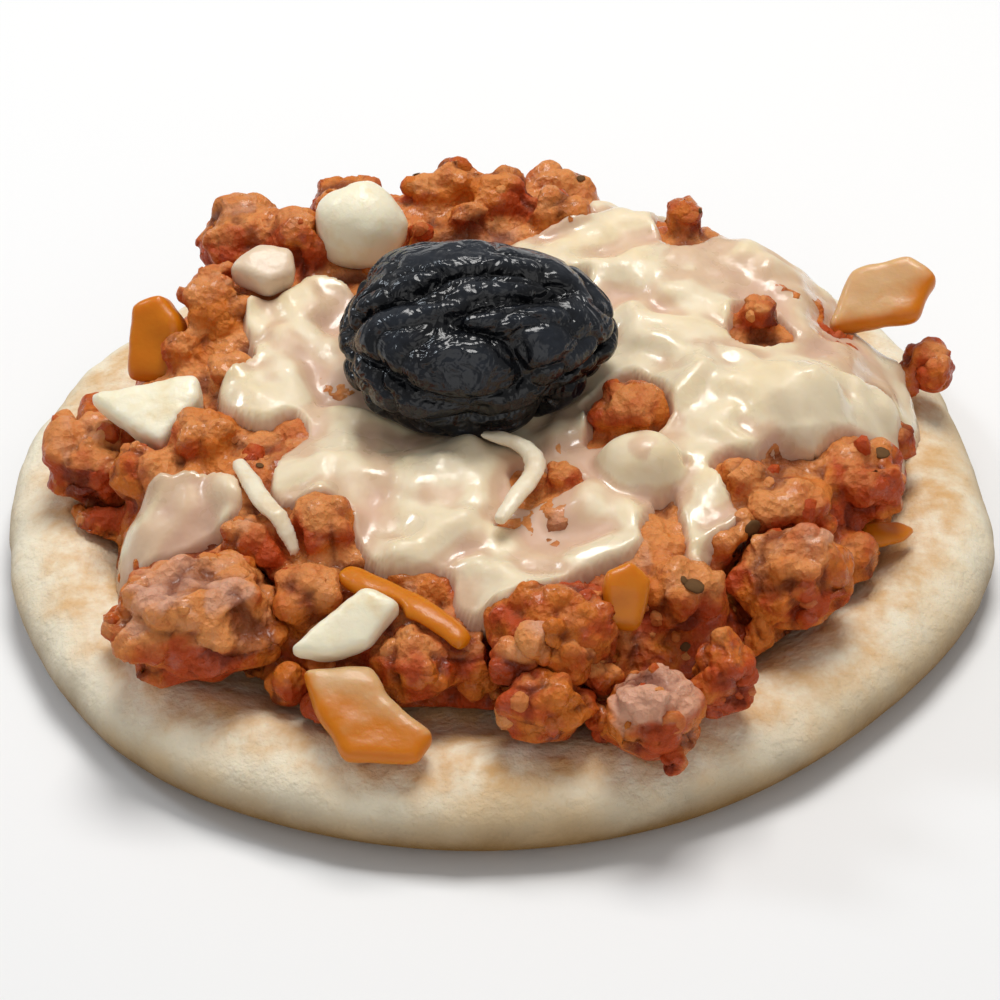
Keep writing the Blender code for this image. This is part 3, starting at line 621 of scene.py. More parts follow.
def olive_finish(settings):
    finish = Finish("olive")
    ridge = finish.attribute("ridge")
    patch = finish.noise(2.2 * MM, 3)
    # The ridges take the bluish painted sheen over the black skin.
    skin = finish.mix((ridge + patch * 0.5).between(0.8, 1.35), colour(settings.skin), colour(settings.painted_sheen))
    streaks = finish.noise(1.5 * MM, 2, 0.5, 0.8)
    dimples = finish.noise(2.6 * MM, 2, 0.5, 0.6)
    finish.bump(streaks * 0.6 + dimples * 2.0, 0.5 * MM, 1.0)
    return finish.set(
        Base_Color=skin,
        Roughness=0.14 + patch * 0.14,
        Specular_IOR_Level=0.42,
    )


def herb_finish():
    finish = Finish("herb")
    tint = finish.mix(finish.noise(0.8 * MM), (0.075, 0.034, 0.012, 1), (0.17, 0.085, 0.03, 1))
    return finish.set(Base_Color=tint, Roughness=0.8, Specular_IOR_Level=0.15)


def floor_finish(tint):
    finish = Finish("floor")
    soft = finish.noise(60 * MM, 2)
    faint = finish.mix(soft * 0.04, colour(tint), (0.8, 0.8, 0.8, 1))
    return finish.set(Base_Color=faint, Roughness=0.75)


# Shapes


def around_of(node, count):
    """How far a CAD node reaches in each of count directions all round.

    The outer corners are sorted by direction, the farthest of each direction is kept, and the reach between two
    directions is worked out in proportion."""
    points = arrays_of(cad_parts[node].data)[0]
    reach = np.hypot(points[:, 0], points[:, 1])
    outer = reach > 0.9 * reach.max()
    turns = np.round(np.degrees(np.arctan2(points[outer, 1], points[outer, 0])) % 360, 1) % 360
    kinds = np.unique(turns)
    place = np.searchsorted(kinds, turns)
    found = np.zeros(len(kinds))
    np.maximum.at(found, place, reach[outer])
    return np.interp(np.arange(count) * 360 / count, kinds, found, period=360)


def bread_surface(settings):
    """Points and faces of the bread, and how much sauce it has taken in.

    Round the edge, radius = reach - rounding * (1 - sin t) and height = crown / 2 * (1 - cos t) for t from 0 to a
    half turn; then the rim falls into the well by half a cosine. Soft dents only press the crust in."""
    columns = 480
    low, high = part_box("bread_base")
    turns = np.arange(columns) * 2 * math.pi / columns
    reach = around_of("bread_base", columns)
    compass = np.stack([np.cos(turns), np.sin(turns), np.zeros(columns)], -1)
    crown = high.z - 0.25 * MM + 0.3 * MM * smooth_noise(compass, 0.45, 3)
    edge = np.linspace(0, math.pi, 40)[:, None]
    slope = np.linspace(0.08, 1, 14)[:, None]
    flat = np.linspace(0.96, 0.02, 22)[:, None]
    inner = reach - settings.edge_rounding - settings.rim_slope
    radius = np.concatenate([
        np.linspace(0.02, 0.9, 10)[:, None] * (reach - settings.edge_rounding),
        reach - settings.edge_rounding * (1 - np.sin(edge)),
        reach - settings.edge_rounding - settings.rim_slope * slope,
        inner * flat,
    ])
    fall = 0.5 - 0.5 * np.cos(math.pi * slope)
    height = np.concatenate([
        np.zeros((10, columns)),
        crown / 2 * (1 - np.cos(edge)),
        crown + (settings.well - crown) * fall,
        settings.well + 0 * inner * flat,
    ])
    rows = len(radius)
    points = np.stack([radius * np.cos(turns), radius * np.sin(turns), height], -1).reshape(-1, 3)
    dents = rough_noise(points, 8 * MM, 3, 21)
    pores = rough_noise(points, 1.7 * MM, 2, 31)
    press = settings.dent_depth * (0.5 - 0.5 * dents) + 0.12 * MM * (0.5 - 0.5 * pores)
    raised = smooth_step(0.6 * MM, 2.6 * MM, points[:, 2])
    outward = np.clip(np.hypot(points[:, 0], points[:, 1]) / 42 / MM, 0, 1) ** 6
    direction = points * (1, 1, 0) / np.maximum(np.hypot(points[:, 0], points[:, 1]), MM)[:, None]
    points -= direction * (press * outward * raised)[:, None] * 0.8
    points[:, 2] -= press * raised * 0.9
    ends = np.array([[0, 0, 0], [0, 0, settings.well]])
    points = np.concatenate([points, ends])
    first = np.arange(columns)
    after = (first + 1) % columns
    bottom = np.stack([np.full(columns, rows * columns), after, first], -1)
    last = (rows - 1) * columns
    top = np.stack([np.full(columns, rows * columns + 1), last + first, last + after], -1)
    faces = grid_faces(rows, columns).tolist() + bottom.tolist() + top.tolist()
    heap = around_of("minced_meat", columns)
    direction = np.degrees(np.arctan2(points[:, 1], points[:, 0])) % 360
    foot = np.interp(direction, np.arange(columns) * 360 / columns, heap, period=360)
    beyond = np.hypot(points[:, 0], points[:, 1]) - foot
    soaked = smooth_step(2.4 * MM, -1.2 * MM, beyond + 1.2 * MM * rough_noise(points, 3 * MM, 2, 5))
    return points, faces, soaked


def crumble(points, normals, settings, seed):
    """Moves points along their normals into grains of mince: domes round random spots at two sizes, and noise.

    A dome's height is 1 - 1.6 * distance squared. The creases where domes meet come back as numbers for painted
    shade, with each grain's own number mixed with painted light on up-facing points and painted shade low on the
    heap."""
    wander = np.stack([smooth_noise(points, 2.6 * MM, seed + 40 + axis) for axis in range(3)], -1)
    warped = points + 0.55 * MM * wander
    chunk_away, chunk = granules(warped + 0.4 * MM * wander, settings.chunk, seed + 30)
    step = (chunk - 0.5) * (1 - smooth_step(0.4, 0.72, chunk_away)) - 0.35 * smooth_step(0.45, 0.8, chunk_away)
    away, tone = granules(warped, settings.granule, seed)
    fine_away, _ = granules(warped, settings.fine, seed + 20)
    dome = 1 - 1.6 * away**2
    fine_dome = 1 - 1.6 * fine_away**2
    rough = rough_noise(points, 1.4 * MM, 3, seed + 60)
    swell = rough_noise(points, 5 * MM, 2, seed + 70)
    press = (
        settings.chunk_depth * step
        + settings.granule_depth * (dome - 0.62)
        + settings.fine_depth * (fine_dome - 0.55)
        + 0.16 * MM * rough
        + 0.3 * MM * swell
    )
    free = smooth_step(-0.75, -0.2, normals[:, 2])
    moved = points + normals * (press * free)[:, None]
    # Painted shade: the creases between domes and the seams between chunks get a number that darkens their colour.
    crease = np.clip(0.62 - dome, 0, 1) * 0.9 + np.clip(0.5 - fine_dome, 0, 1) * 0.4 - 0.25 * rough
    crease += 0.6 * smooth_step(0.5, 0.85, chunk_away)
    # Painted light and shade in the tone: up-facing points get a lighter tone, and points low on the heap a darker,
    # redder one.
    lit = np.clip(normals[:, 2], -0.2, 1)
    low = 1 - smooth_step(8 * MM, 15 * MM, points[:, 2])
    return moved, 0.2 * tone + 0.25 * chunk + 0.55 * lit - 0.4 * low, crease


def lay_mince(settings, finish):
    shades = {
        "meat_lump_front_middle": -0.3,
        "meat_lump_front_low": -0.3,
        "meat_lump_front_right": -0.25,
        "meat_lump_right": -0.1,
        "meat_lump_front_left": 0.12,
        "meat_lump_left": 0.12,
    }
    pinks = {"meat_lump_front_pink": 0.6, "meat_lump_right": 0.12, "meat_lump_front_left": 0.1}
    for number, node in enumerate(MEAT_NODES):
        whole = node == "minced_meat"
        points, faces, normals = refined(node, settings.voxel if whole else settings.lump_voxel, 5 if whole else 4)
        points, tone, crease = crumble(points, normals, settings, 100 * number)
        tone += shades.get(node, -0.05)
        points[:, 2] = np.maximum(points[:, 2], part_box(node)[0].z)
        new_piece(
            f"mince_{node}", points, faces, finish, "mince", [node],
            tone=tone, crease=crease, pinkness=pinks.get(node, 0.0),
        )


def finished_points(*names):
    """Samples of finished pieces: their points, the middles of their faces' sides and the faces' middles."""
    found = []
    for name in names:
        mesh = bpy.data.objects[name].data
        points = arrays_of(mesh)[0]
        sizes = np.empty(len(mesh.polygons), np.int32)
        mesh.polygons.foreach_get("loop_total", sizes)
        corners = np.empty(len(mesh.loops), np.int32)
        mesh.loops.foreach_get("vertex_index", corners)
        faces = corners[np.repeat(sizes == 4, sizes)].reshape(-1, 4)
        corners = points[faces]
        ring = np.roll(corners, 1, axis=1)
        found += [points, ((corners + ring) / 2).reshape(-1, 3), corners.mean(1)]
    return np.concatenate(found)


def triangle_samples(node, steps=12):
    """Points spread over the triangles of a CAD node: every mixture of their corners in steps."""
    points, faces, _ = arrays_of(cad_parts[node].data)
    shares = [(a, b, steps - a - b) for a in range(steps + 1) for b in range(steps + 1 - a)]
    weights = np.array(shares) / steps
    return np.einsum("sk,fkc->fsc", weights, points[faces]).reshape(-1, 3)


class HeightMap:
    """Heights over a square grid in plan, as arrays."""

    def __init__(self, cell):
        low, high = (Vector(corner) for corner in CAD_BOX)
        self.cell = cell
        self.start = low.x
        self.count = int((high.x - low.x) / cell) + 2
        steps = low.x + np.arange(self.count) * cell
        self.x, self.y = np.meshgrid(steps, steps, indexing="ij")

    def place(self, points):
        nearest = np.round((points[:, :2] - self.start) / self.cell).astype(int)
        return tuple(np.clip(nearest, 0, self.count - 1).T)

    def highest(self, points):
        heights = np.full((self.count, self.count), -1.0)
        np.maximum.at(heights, self.place(points), points[:, 2])
        return heights

    def blurred(self, values, spread):
        """The values under a Gaussian bell of that spread, by Fourier transform."""
        rows, columns = np.fft.fftfreq(self.count, self.cell), np.fft.rfftfreq(self.count, self.cell)
        rate = rows[:, None] ** 2 + columns**2
        bell = np.exp(-2 * (math.pi * spread) ** 2 * rate)
        return np.fft.irfft2(np.fft.rfft2(values) * bell, s=values.shape)

    def filled(self, heights, known, spread):
        """The known heights, blurred into where there are none."""
        weight = self.blurred(known.astype(float), spread)
        return self.blurred(np.where(known, heights, 0), spread) / np.maximum(weight, 1e-4)

    def at(self, values, points):
        return values[self.place(points)]

    def away(self, x, y, half_x, half_y):
        """Distance from a middle, squared, against the half sizes; all are in mm."""
        return ((self.x / MM - x) / half_x) ** 2 + ((self.y / MM - y) / half_y) ** 2


def sheet_plan(chart, node):
    """Where a packed sheet of cheese lies, seen from above."""
    return chart.highest(triangle_samples(node)) > 0


def shreds(settings, chart, plan, seed):
    """Height of half-melted shreds: bent round bars laid at random on the plan and melted into each other."""
    draw = np.random.default_rng(seed)
    places = np.argwhere(plan)
    relief = np.zeros_like(chart.x)
    for _ in range(int(len(places) * (chart.cell / settings.shred_spacing) ** 2)):
        middle = tuple(places[draw.integers(len(places))])
        angle = draw.uniform(0, math.pi)
        half, width, rise = draw.uniform((0.8, 0.9, 0.3), (3.6, 1.7, 1.1)) * MM
        x, y = chart.x - chart.x[middle], chart.y - chart.y[middle]
        along = x * math.cos(angle) + y * math.sin(angle)
        across = y * math.cos(angle) - x * math.sin(angle) + draw.uniform(-0.13, 0.13) / MM * along**2
        away = np.hypot(np.maximum(np.abs(along) - half, 0), across) / width
        relief = np.maximum(relief, rise * np.sqrt(np.clip(1 - away**2, 0, 1)))
    return chart.blurred(relief, 0.45 * MM)


def sheet_inside(settings, chart, node):
    """How far inside a sheet of cheese each place is, from 0 outside to 1: its plan, blurred, with CHEESE_REACH."""
    inside = chart.blurred(sheet_plan(chart, node).astype(float), settings.edge_blur)
    large = node == SHEET_NODES[0]
    for x, y, half_x, half_y, *_ in CHEESE_BLOBS if large else ():
        inside = np.maximum(inside, 1.2 - 0.6 * chart.away(x, y, half_x, half_y))
    for x, y, half_x, half_y, share in CHEESE_REACH:
        if large or share < 0:
            inside += share * np.exp(-0.9 * chart.away(x, y, half_x, half_y))
    return inside


def bare_mince(settings, least):
    """For spots_on: points that no cheese covers and whose normals point up by at least that much."""
    chart = HeightMap(settings.cell)
    inside = np.maximum.reduce([sheet_inside(settings, chart, node) for node in SHEET_NODES])
    return lambda points, normals: (normals[:, 2] > least) & (chart.at(inside, points) < 0.1)


def melted_sheet(settings, chart, node, ground, seed):
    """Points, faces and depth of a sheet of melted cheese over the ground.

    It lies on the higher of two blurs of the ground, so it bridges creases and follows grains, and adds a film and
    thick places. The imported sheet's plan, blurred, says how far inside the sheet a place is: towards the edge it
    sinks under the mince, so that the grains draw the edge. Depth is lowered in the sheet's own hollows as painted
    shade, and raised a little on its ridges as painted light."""
    plan = sheet_plan(chart, node)
    flat = np.stack([chart.x, chart.y, np.full_like(chart.x, seed * MM)], -1).reshape(-1, 3)
    ragged = rough_noise(flat, 3.0 * MM, 4, seed).reshape(plan.shape)
    swell = rough_noise(flat, 3.4 * MM, 3, seed + 5).reshape(plan.shape)
    inside = sheet_inside(settings, chart, node) + 0.22 * ragged
    thick = np.zeros_like(inside)
    for x, y, half_x, half_y, rise in THICK_CHEESE:
        thick += rise * MM * np.exp(-0.9 * chart.away(x, y, half_x, half_y))
    thick *= np.clip(1 + 0.8 * swell, 0.1, 1.6)
    thick += shreds(settings, chart, plan, seed + 2)
    close, wide = chart.blurred(ground, 0.4 * MM), chart.blurred(ground, 1.9 * MM)
    bed = close + np.maximum(wide - close, 0) * (0.45 + 0.5 * smooth_step(0, 0.8 * MM, thick))
    patchy = rough_noise(flat, 3.0 * MM, 3, seed + 8).reshape(plan.shape)
    height = bed + settings.film_depth * (1 + 2.2 * patchy) + thick
    for x, y, half_x, half_y, half_z, rise in CHEESE_BLOBS if node == SHEET_NODES[0] else ():
        away = np.maximum(chart.away(x, y, half_x, half_y) + 0.45 * swell, 0)
        middle = chart.at(wide, np.array([[x, y]]) * MM) + (rise - half_z) * MM
        blob = middle + half_z * MM * np.sqrt(np.clip(1 - away, 0, 1))
        height = np.where(away < 1, np.maximum(height, blob), height)
    height = chart.blurred(height, 0.35 * MM)
    # Painted shade and light: the sheet's own hollows take the thinner, darker colours, and its ridges a little of
    # the paler ones.
    ridge = (height - chart.blurred(height, 1.3 * MM)) / (0.7 * MM)
    height -= settings.dive * (1 - smooth_step(0.34, 0.62, inside))
    depth = np.clip((height - chart.blurred(ground, 0.3 * MM)) / (1.5 * MM), 0, 1)
    depth = np.clip(depth + 0.5 * np.clip(ridge, -1, 0.4), 0, 1)
    kept = inside > 0.3
    cells = kept[:-1, :-1] & kept[1:, :-1] & kept[1:, 1:] & kept[:-1, 1:]
    slope_x, slope_y = np.gradient(inside, chart.cell)
    slip = (0.3 - inside) / np.maximum(slope_x**2 + slope_y**2, 1)
    reach = 0.7 * chart.cell
    slip_x, slip_y = np.clip(slip * slope_x, -reach, reach), np.clip(slip * slope_y, -reach, reach)
    return shell(chart, cells, (slip_x, slip_y), height, height - 1.4 * MM, depth)


def shell(chart, cells, slip, upper, lower, depth):
    """A closed shell over the kept cells: an upper and a lower sheet of squares, and a wall along every open side.

    The points on its edge are moved by slip, so that the edge runs smoothly and not in steps."""
    padded = np.pad(cells, 1)
    used = padded[1:, 1:] | padded[:-1, 1:] | padded[1:, :-1] | padded[:-1, :-1]
    number = np.cumsum(used.reshape(-1)).reshape(used.shape) - 1
    count = int(used.sum())
    i, j = np.nonzero(cells)
    quads = np.stack([number[i, j], number[i + 1, j], number[i + 1, j + 1], number[i, j + 1]], -1)
    walls = []
    # Each side of a square: its two corners and the step to the square beyond it.
    sides = (
        ((0, 0), (1, 0), (0, -1)),
        ((1, 0), (1, 1), (1, 0)),
        ((1, 1), (0, 1), (0, 1)),
        ((0, 1), (0, 0), (-1, 0)),
    )
    for (ai, aj), (bi, bj), (ni, nj) in sides:
        open_side = ~padded[i + 1 + ni, j + 1 + nj]
        a = number[i + ai, j + aj][open_side]
        b = number[i + bi, j + bj][open_side]
        walls.append(np.stack([a, a + count, b + count, b], -1))
    inner = padded[1:, 1:] & padded[:-1, 1:] & padded[1:, :-1] & padded[:-1, :-1]
    edges = zip((chart.x, chart.y), slip)
    plan = np.stack([np.where(inner, place, place + moved)[used] for place, moved in edges], -1)
    points = np.concatenate([np.c_[plan, upper[used]], np.c_[plan, lower[used]]])
    faces = np.concatenate([quads, quads[:, ::-1] + count, *walls])
    return points, faces, np.concatenate([depth[used]] * 2)


def olive_surface(settings):
    """Points, faces and ridges of the olive.

    Along the long axis x runs from -1 to 1 and the radius is (1 - |x|**2.3)**(1/2.3), blunt on the left and slimmer
    on the right. Noise that is stretched along the axis is folded at zero, which gives sharp creases between round
    ridges."""
    low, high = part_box("black_olive")
    rows, columns = 260, 300
    along = -np.cos(np.linspace(0.004, math.pi - 0.004, rows))[:, None]
    turn = np.arange(columns)[None, :] * 2 * math.pi / columns
    radius = (1 - np.abs(along) ** 2.3) ** (1 / 2.3) * (1 - 0.07 * along - 0.05 * along**2)
    unit = np.stack([along + 0 * turn, radius * np.cos(turn), radius * np.sin(turn)], -1).reshape(-1, 3)
    stretched = unit * (0.34, 1, 1)
    wander = np.stack([smooth_noise(stretched, 0.8, 300 + axis) for axis in range(3)], -1)
    folded = 1 - np.exp(-np.abs(smooth_noise(stretched + 0.4 * wander, settings.fold_size, 310)) / 0.17)
    small = smooth_noise(stretched * (1.6, 1, 1) + 0.3 * wander, settings.fold_size * 0.42, 320)
    minor = 1 - np.exp(-np.abs(small) / 0.2)
    dents = rough_noise(unit, 0.8, 2, 330)
    ridge = 0.75 * folded + 0.25 * minor
    half = np.array([(high.x - low.x) / 2, (high.y - low.y) / 2, 7.6 * MM])
    middle = np.array([(low.x + high.x) / 2 - 0.3 * MM, (low.y + high.y) / 2, high.z - 7.4 * MM])
    outward = unit / np.linalg.norm(unit * (0.6, 1, 1), axis=1)[:, None] * (0.6, 1, 1)
    push = (ridge - 0.8) * settings.fold_depth + 0.6 * MM * dents
    points = middle + unit * half * 0.96 + outward * push[:, None]
    nub = np.exp(-((unit[:, 0] - 1) ** 2) / 0.004) * 0.8 * MM
    points[:, 0] += nub
    ends = np.array([points[:columns].mean(0), points[-columns:].mean(0)])
    points = np.concatenate([points, ends])
    first = np.arange(columns)
    after = (first + 1) % columns
    last = (rows - 1) * columns
    left = np.stack([np.full(columns, rows * columns), first, after], -1)
    right = np.stack([np.full(columns, rows * columns + 1), last + after, last + first], -1)
    faces = grid_faces(rows, columns)[:, ::-1].tolist() + left.tolist() + right.tolist()
    return points, faces, np.append(ridge, (0, 0))


def ball(detail):
    """Corners and triangles of a ball of radius 1."""
    builder = bmesh.new()
    bmesh.ops.create_icosphere(builder, subdivisions=detail, radius=1)
    mesh = bpy.data.meshes.new("ball")
    builder.to_mesh(mesh)
    builder.free()
    points, faces, _ = arrays_of(mesh)
    bpy.data.meshes.remove(mesh)
    return points, faces


def scattered(draw, spots, outward, sizes, squash, detail, seed):
    """Many uneven balls joined in one mesh: each is scaled, turned about the upright and moved out a little."""
    points, faces = ball(detail)
    count = len(spots)
    scale = sizes[:, None, None] * draw.uniform(squash, 1.0, (count, 1, 3))
    turn = draw.uniform(0, 2 * math.pi, count)
    cos, sin, zero, one = np.cos(turn), np.sin(turn), np.zeros(count), np.ones(count)
    spin = np.stack([cos, -sin, zero, sin, cos, zero, zero, zero, one], -1).reshape(-1, 3, 3)
    apart = points[None] + 7.0 * np.arange(count)[:, None, None]
    bumps = 1 + 0.28 * smooth_noise(apart.reshape(-1, 3), 0.8, seed)
    lumps = points[None] * bumps.reshape(count, -1, 1) * scale
    middles = spots[:, None] + outward[:, None] * sizes[:, None, None] * 0.1
    placed = np.einsum("nab,npb->npa", spin, lumps) + middles
    numbers = faces[None] + (np.arange(count) * len(points))[:, None, None]
    return placed.reshape(-1, 3), numbers.reshape(-1, 3)


def spots_on(draw, name, count, wanted):
    """Random places on a finished piece, and its normals there, among the points where wanted is true."""
    points, _, normals = arrays_of(bpy.data.objects[name].data)
    usable = np.nonzero(wanted(points, normals))[0]
    chosen = draw.choice(usable, count, replace=False)
    return points[chosen], normals[chosen]


# Operators


class PIZZA_OT_bread(bpy.types.Operator):
    """Makes the bread base"""

    bl_idname = "pizza.bread"
    bl_label = "Bread base"

    def execute(self, context):
        settings = context.scene.pizza.bread
        points, faces, soaked = bread_surface(settings)
        new_piece("bread", points, faces, bread_finish(settings), "bread", ["bread_base"], soaked=soaked)
        return {"FINISHED"}


class PIZZA_OT_mince(bpy.types.Operator):
    """Makes the heap of mince, its large lumps and its loose crumbs"""

    bl_idname = "pizza.mince"
    bl_label = "Minced meat"

    def execute(self, context):
        settings = context.scene.pizza.mince
        finish = mince_finish(settings)
        lay_mince(settings, finish)
        draw = np.random.default_rng(5)
        count = context.scene.pizza.pieces.crumb_count
        bare = bare_mince(context.scene.pizza.melted, -0.4)
        for number, node in enumerate(MEAT_NODES):
            share = count if node == "minced_meat" else count // 30
            spots, outward = spots_on(draw, f"mince_{node}", share, bare)
            sizes = draw.uniform(0.5, 1.0, share) ** 1.4 * 1.5 * MM
            points, faces = scattered(draw, spots - outward * 0.7 * sizes[:, None], outward, sizes, 0.45, 2, 77)
            tone = np.repeat(draw.uniform(0, 0.8, share), len(points) // share)
            # The crumbs get a little of the painted crease shade all over.
            new_piece(f"crumbs_{node}", points, faces, finish, "mince", tone=tone, crease=0.15, pinkness=0.0)
        bits = np.array(MINCE_BITS) * MM
        up = np.tile((0, 0, 1.0), (len(bits), 1))
        points, faces = scattered(draw, bits[:, :3], up, bits[:, 3], 0.9, 5, 55)
        normals = points - np.repeat(bits[:, :3], len(points) // len(bits), axis=0)
        normals /= np.linalg.norm(normals, axis=1)[:, None]
        points, tone, crease = crumble(points, normals, settings, 900)
        new_piece("mince_bits", points, faces, finish, "mince", tone=tone, crease=crease, pinkness=0.0)
        return {"FINISHED"}


class PIZZA_OT_melted_cheese(bpy.types.Operator):
    """Drapes the melted cheese over the mince"""

    bl_idname = "pizza.melted_cheese"
    bl_label = "Melted cheese"

    def execute(self, context):
        settings = context.scene.pizza.melted
        chart = HeightMap(settings.cell)
        meat = chart.highest(finished_points(*(f"mince_{node}" for node in MEAT_NODES)))
        bread = chart.highest(finished_points("bread"))
        near = chart.blurred((meat > 0).astype(float), 0.45 * MM) > 0.5
        bare = np.where(near, chart.filled(meat, meat > 0, 0.45 * MM), chart.filled(bread, bread > 0, 1.5 * MM))
        ground = np.where(meat > 0, meat, bare)
        finish = melted_finish(settings)
        for number, node in enumerate(SHEET_NODES):
            points, faces, depth = melted_sheet(settings, chart, node, ground, 11 + 20 * number)
            new_piece(f"draped_{node}", points, faces, finish, "melted_cheese", [node], depth=depth)
        return {"FINISHED"}


class PIZZA_OT_cheese_pieces(bpy.types.Operator):
    """Makes the unmelted pieces and shreds of cheese"""

    bl_idname = "pizza.cheese_pieces"
    bl_label = "Cheese pieces"

    def execute(self, context):
        finish = cheese_finish(context.scene.pizza.pieces)
        for number, node in enumerate(CHEESE_PIECES):
            voxel, passes = CHEESE_ROUNDING.get(node, CHEESE_ROUNDING["others"])
            points, faces, normals = refined(node, voxel, passes)
            uneven = (0.12 if "shred" in node else 0.22) * rough_noise(points, 2.4 * MM, 3, 400 + number)
            uneven += 0.05 * rough_noise(points, 0.8 * MM, 2, 430 + number)
            if node == "cheese_piece_back":
                uneven += 0.2 + 0.8 * smooth_noise(points, 4.6 * MM, 443)
            points += normals * (uneven * MM)[:, None]
            new_piece(f"cut_{node}", points, faces, finish, "cheese", [node], soft=SOFT_CHEESE.get(node, -0.5))
        return {"FINISHED"}


class PIZZA_OT_onion(bpy.types.Operator):
    """Makes the pieces of cooked onion"""

    bl_idname = "pizza.onion"
    bl_label = "Onion"

    def execute(self, context):
        finish = onion_finish(context.scene.pizza.pieces)
        for number, node in enumerate(ONION_NODES):
            points, faces, normals = refined(node, 0.24 * MM, 28)
            way, middle_pale = PALE_ONION.get(node, ((0, 0, 0.2), 0.0))
            away = points - points.mean(0)
            pale = middle_pale + (away / np.abs(away).max() * 0.5 + normals * 0.6) @ np.array(way)
            uneven = 0.12 + 0.35 * rough_noise(points, 3.0 * MM, 2, 500 + number)
            points += normals * (uneven * MM)[:, None]
            new_piece(f"cooked_{node}", points, faces, finish, "onion", [node], pale=pale)
        return {"FINISHED"}


class PIZZA_OT_olive(bpy.types.Operator):
    """Makes the dried black olive"""

    bl_idname = "pizza.olive"
    bl_label = "Black olive"

    def execute(self, context):
        settings = context.scene.pizza.olive
        points, faces, ridge = olive_surface(settings)
        new_piece("olive", points, faces, olive_finish(settings), "olive", ["black_olive"], ridge=ridge)
        return {"FINISHED"}


class PIZZA_OT_herbs(bpy.types.Operator):
    """Scatters the specks of dried herb"""

    bl_idname = "pizza.herbs"
    bl_label = "Herb specks"

    def execute(self, context):
        draw = np.random.default_rng(9)
        count = context.scene.pizza.pieces.herb_count
        bare = bare_mince(context.scene.pizza.melted, 0.3)
        spots, outward = spots_on(draw, "mince_minced_meat", count, bare)
        sizes = draw.uniform(0.3, 0.5, count) * MM
        points, _, normals = arrays_of(bpy.data.objects["mince_minced_meat"].data)
        for x, y, size in HERB_FLAKES:
            away = np.hypot(points[:, 0] - x * MM, points[:, 1] - y * MM) - 0.2 * points[:, 2]
            nearest = np.argmin(away)
            spots = np.vstack([spots, points[nearest]])
            outward = np.vstack([outward, normals[nearest]])
            sizes = np.append(sizes, size * MM)
        points, faces = scattered(draw, spots + outward * 0.1 * MM, outward, sizes, 0.6, 2, 99)
        each = len(points) // len(spots)
        up, middles = np.repeat(outward, each, axis=0), np.repeat(spots, each, axis=0)
        points -= up * 0.75 * ((points - middles) * up).sum(1)[:, None]
        new_piece("herb_specks", points, faces, herb_finish(), "mince")
        return {"FINISHED"}


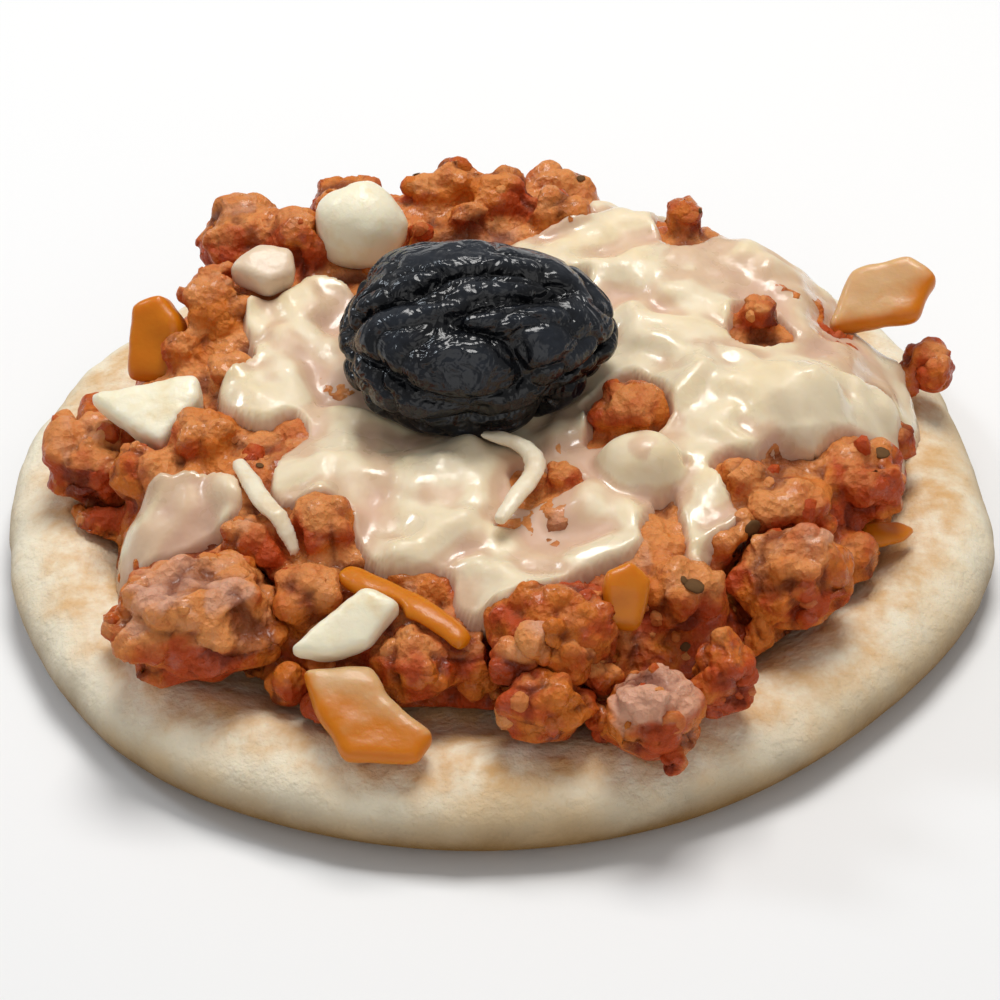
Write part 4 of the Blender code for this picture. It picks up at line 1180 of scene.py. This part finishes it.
class PIZZA_OT_stage(bpy.types.Operator):
    """Sets up the floor, the lights and the camera"""

    bl_idname = "pizza.stage"
    bl_label = "Stage"

    def execute(self, context):
        settings = context.scene.pizza.stage
        scene = context.scene
        half = 2.0
        mesh = bpy.data.meshes.new("floor")
        corners = [(-half, -half, 0), (half, -half, 0), (half, half, 0), (-half, half, 0)]
        mesh.from_pydata(corners, [], [(0, 1, 2, 3)])
        mesh.materials.append(floor_finish(settings.floor))
        floor = bpy.data.objects.new("floor", mesh)
        scene.collection.objects.link(floor)
        camera = bpy.data.objects.new("camera", bpy.data.cameras.new("camera"))
        camera.data.lens = settings.lens
        camera.data.sensor_width = 36
        camera.data.clip_start = 0.01
        up, flat = math.sin(settings.elevation), math.cos(settings.elevation)
        place = Vector(settings.aim) + Vector((0, -flat, up)) * settings.distance
        turn = Matrix.Rotation(math.pi / 2 - settings.elevation, 4, "X") @ Matrix.Rotation(settings.roll, 4, "Z")
        camera.matrix_world = Matrix.Translation(place) @ turn
        scene.collection.objects.link(camera)
        scene.camera = camera
        self.light("overhead", (0.04, 0.13, 0.42), 0.19, 1.45, (1.0, 0.985, 0.96))
        self.light("window", (-0.30, 0.16, 0.30), 0.09, 0.36, (0.84, 0.92, 1.0))
        self.light("fill", (0.10, -0.5, 0.28), 0.5, 0.6, (1.0, 0.99, 0.97))
        world = bpy.data.worlds.new("world")
        world.use_nodes = True
        world.node_tree.nodes["Background"].inputs["Color"].default_value = (1, 1, 1, 1)
        world.node_tree.nodes["Background"].inputs["Strength"].default_value = 0.28
        scene.world = world
        scene.view_settings.view_transform = "Standard"
        scene.view_settings.look = "None"
        return {"FINISHED"}

    @staticmethod
    def light(name, place, size, power, tint):
        """A square lamp that looks at the object."""
        lamp = bpy.data.objects.new(name, bpy.data.lights.new(name, "AREA"))
        lamp.data.size = size
        lamp.data.energy = power
        lamp.data.color = tint
        lamp.location = place
        lamp.rotation_euler = (Vector((0, 0, 0.01)) - Vector(place)).to_track_quat("-Z", "Y").to_euler()
        bpy.context.scene.collection.objects.link(lamp)


class PIZZA_PT_panel(bpy.types.Panel):
    """Lists the operators"""

    bl_idname = "PIZZA_PT_panel"
    bl_label = "Mini pizza"
    bl_space_type = "VIEW_3D"
    bl_region_type = "UI"
    bl_category = "Mini pizza"

    def draw(self, context):
        for operator in OPERATORS:
            self.layout.operator(operator.bl_idname)


OPERATORS = (
    PIZZA_OT_bread,
    PIZZA_OT_mince,
    PIZZA_OT_melted_cheese,
    PIZZA_OT_cheese_pieces,
    PIZZA_OT_onion,
    PIZZA_OT_olive,
    PIZZA_OT_herbs,
    PIZZA_OT_stage,
)
GROUPS = (
    BreadSettings, MinceSettings, MeltedSettings, PieceSettings, OliveSettings, StageSettings, PizzaSettings
)


def register():
    for group in (*GROUPS, *OPERATORS, PIZZA_PT_panel):
        bpy.utils.register_class(group)
    bpy.types.Scene.pizza = PointerProperty(type=PizzaSettings)


def unregister():
    del bpy.types.Scene.pizza
    for group in reversed((*GROUPS, *OPERATORS, PIZZA_PT_panel)):
        bpy.utils.unregister_class(group)


def main():
    register()
    for make in (
        bpy.ops.pizza.bread,
        bpy.ops.pizza.mince,
        bpy.ops.pizza.melted_cheese,
        bpy.ops.pizza.cheese_pieces,
        bpy.ops.pizza.onion,
        bpy.ops.pizza.olive,
        bpy.ops.pizza.herbs,
        bpy.ops.pizza.stage,
    ):
        make()


if __name__ == "__main__":
    main()
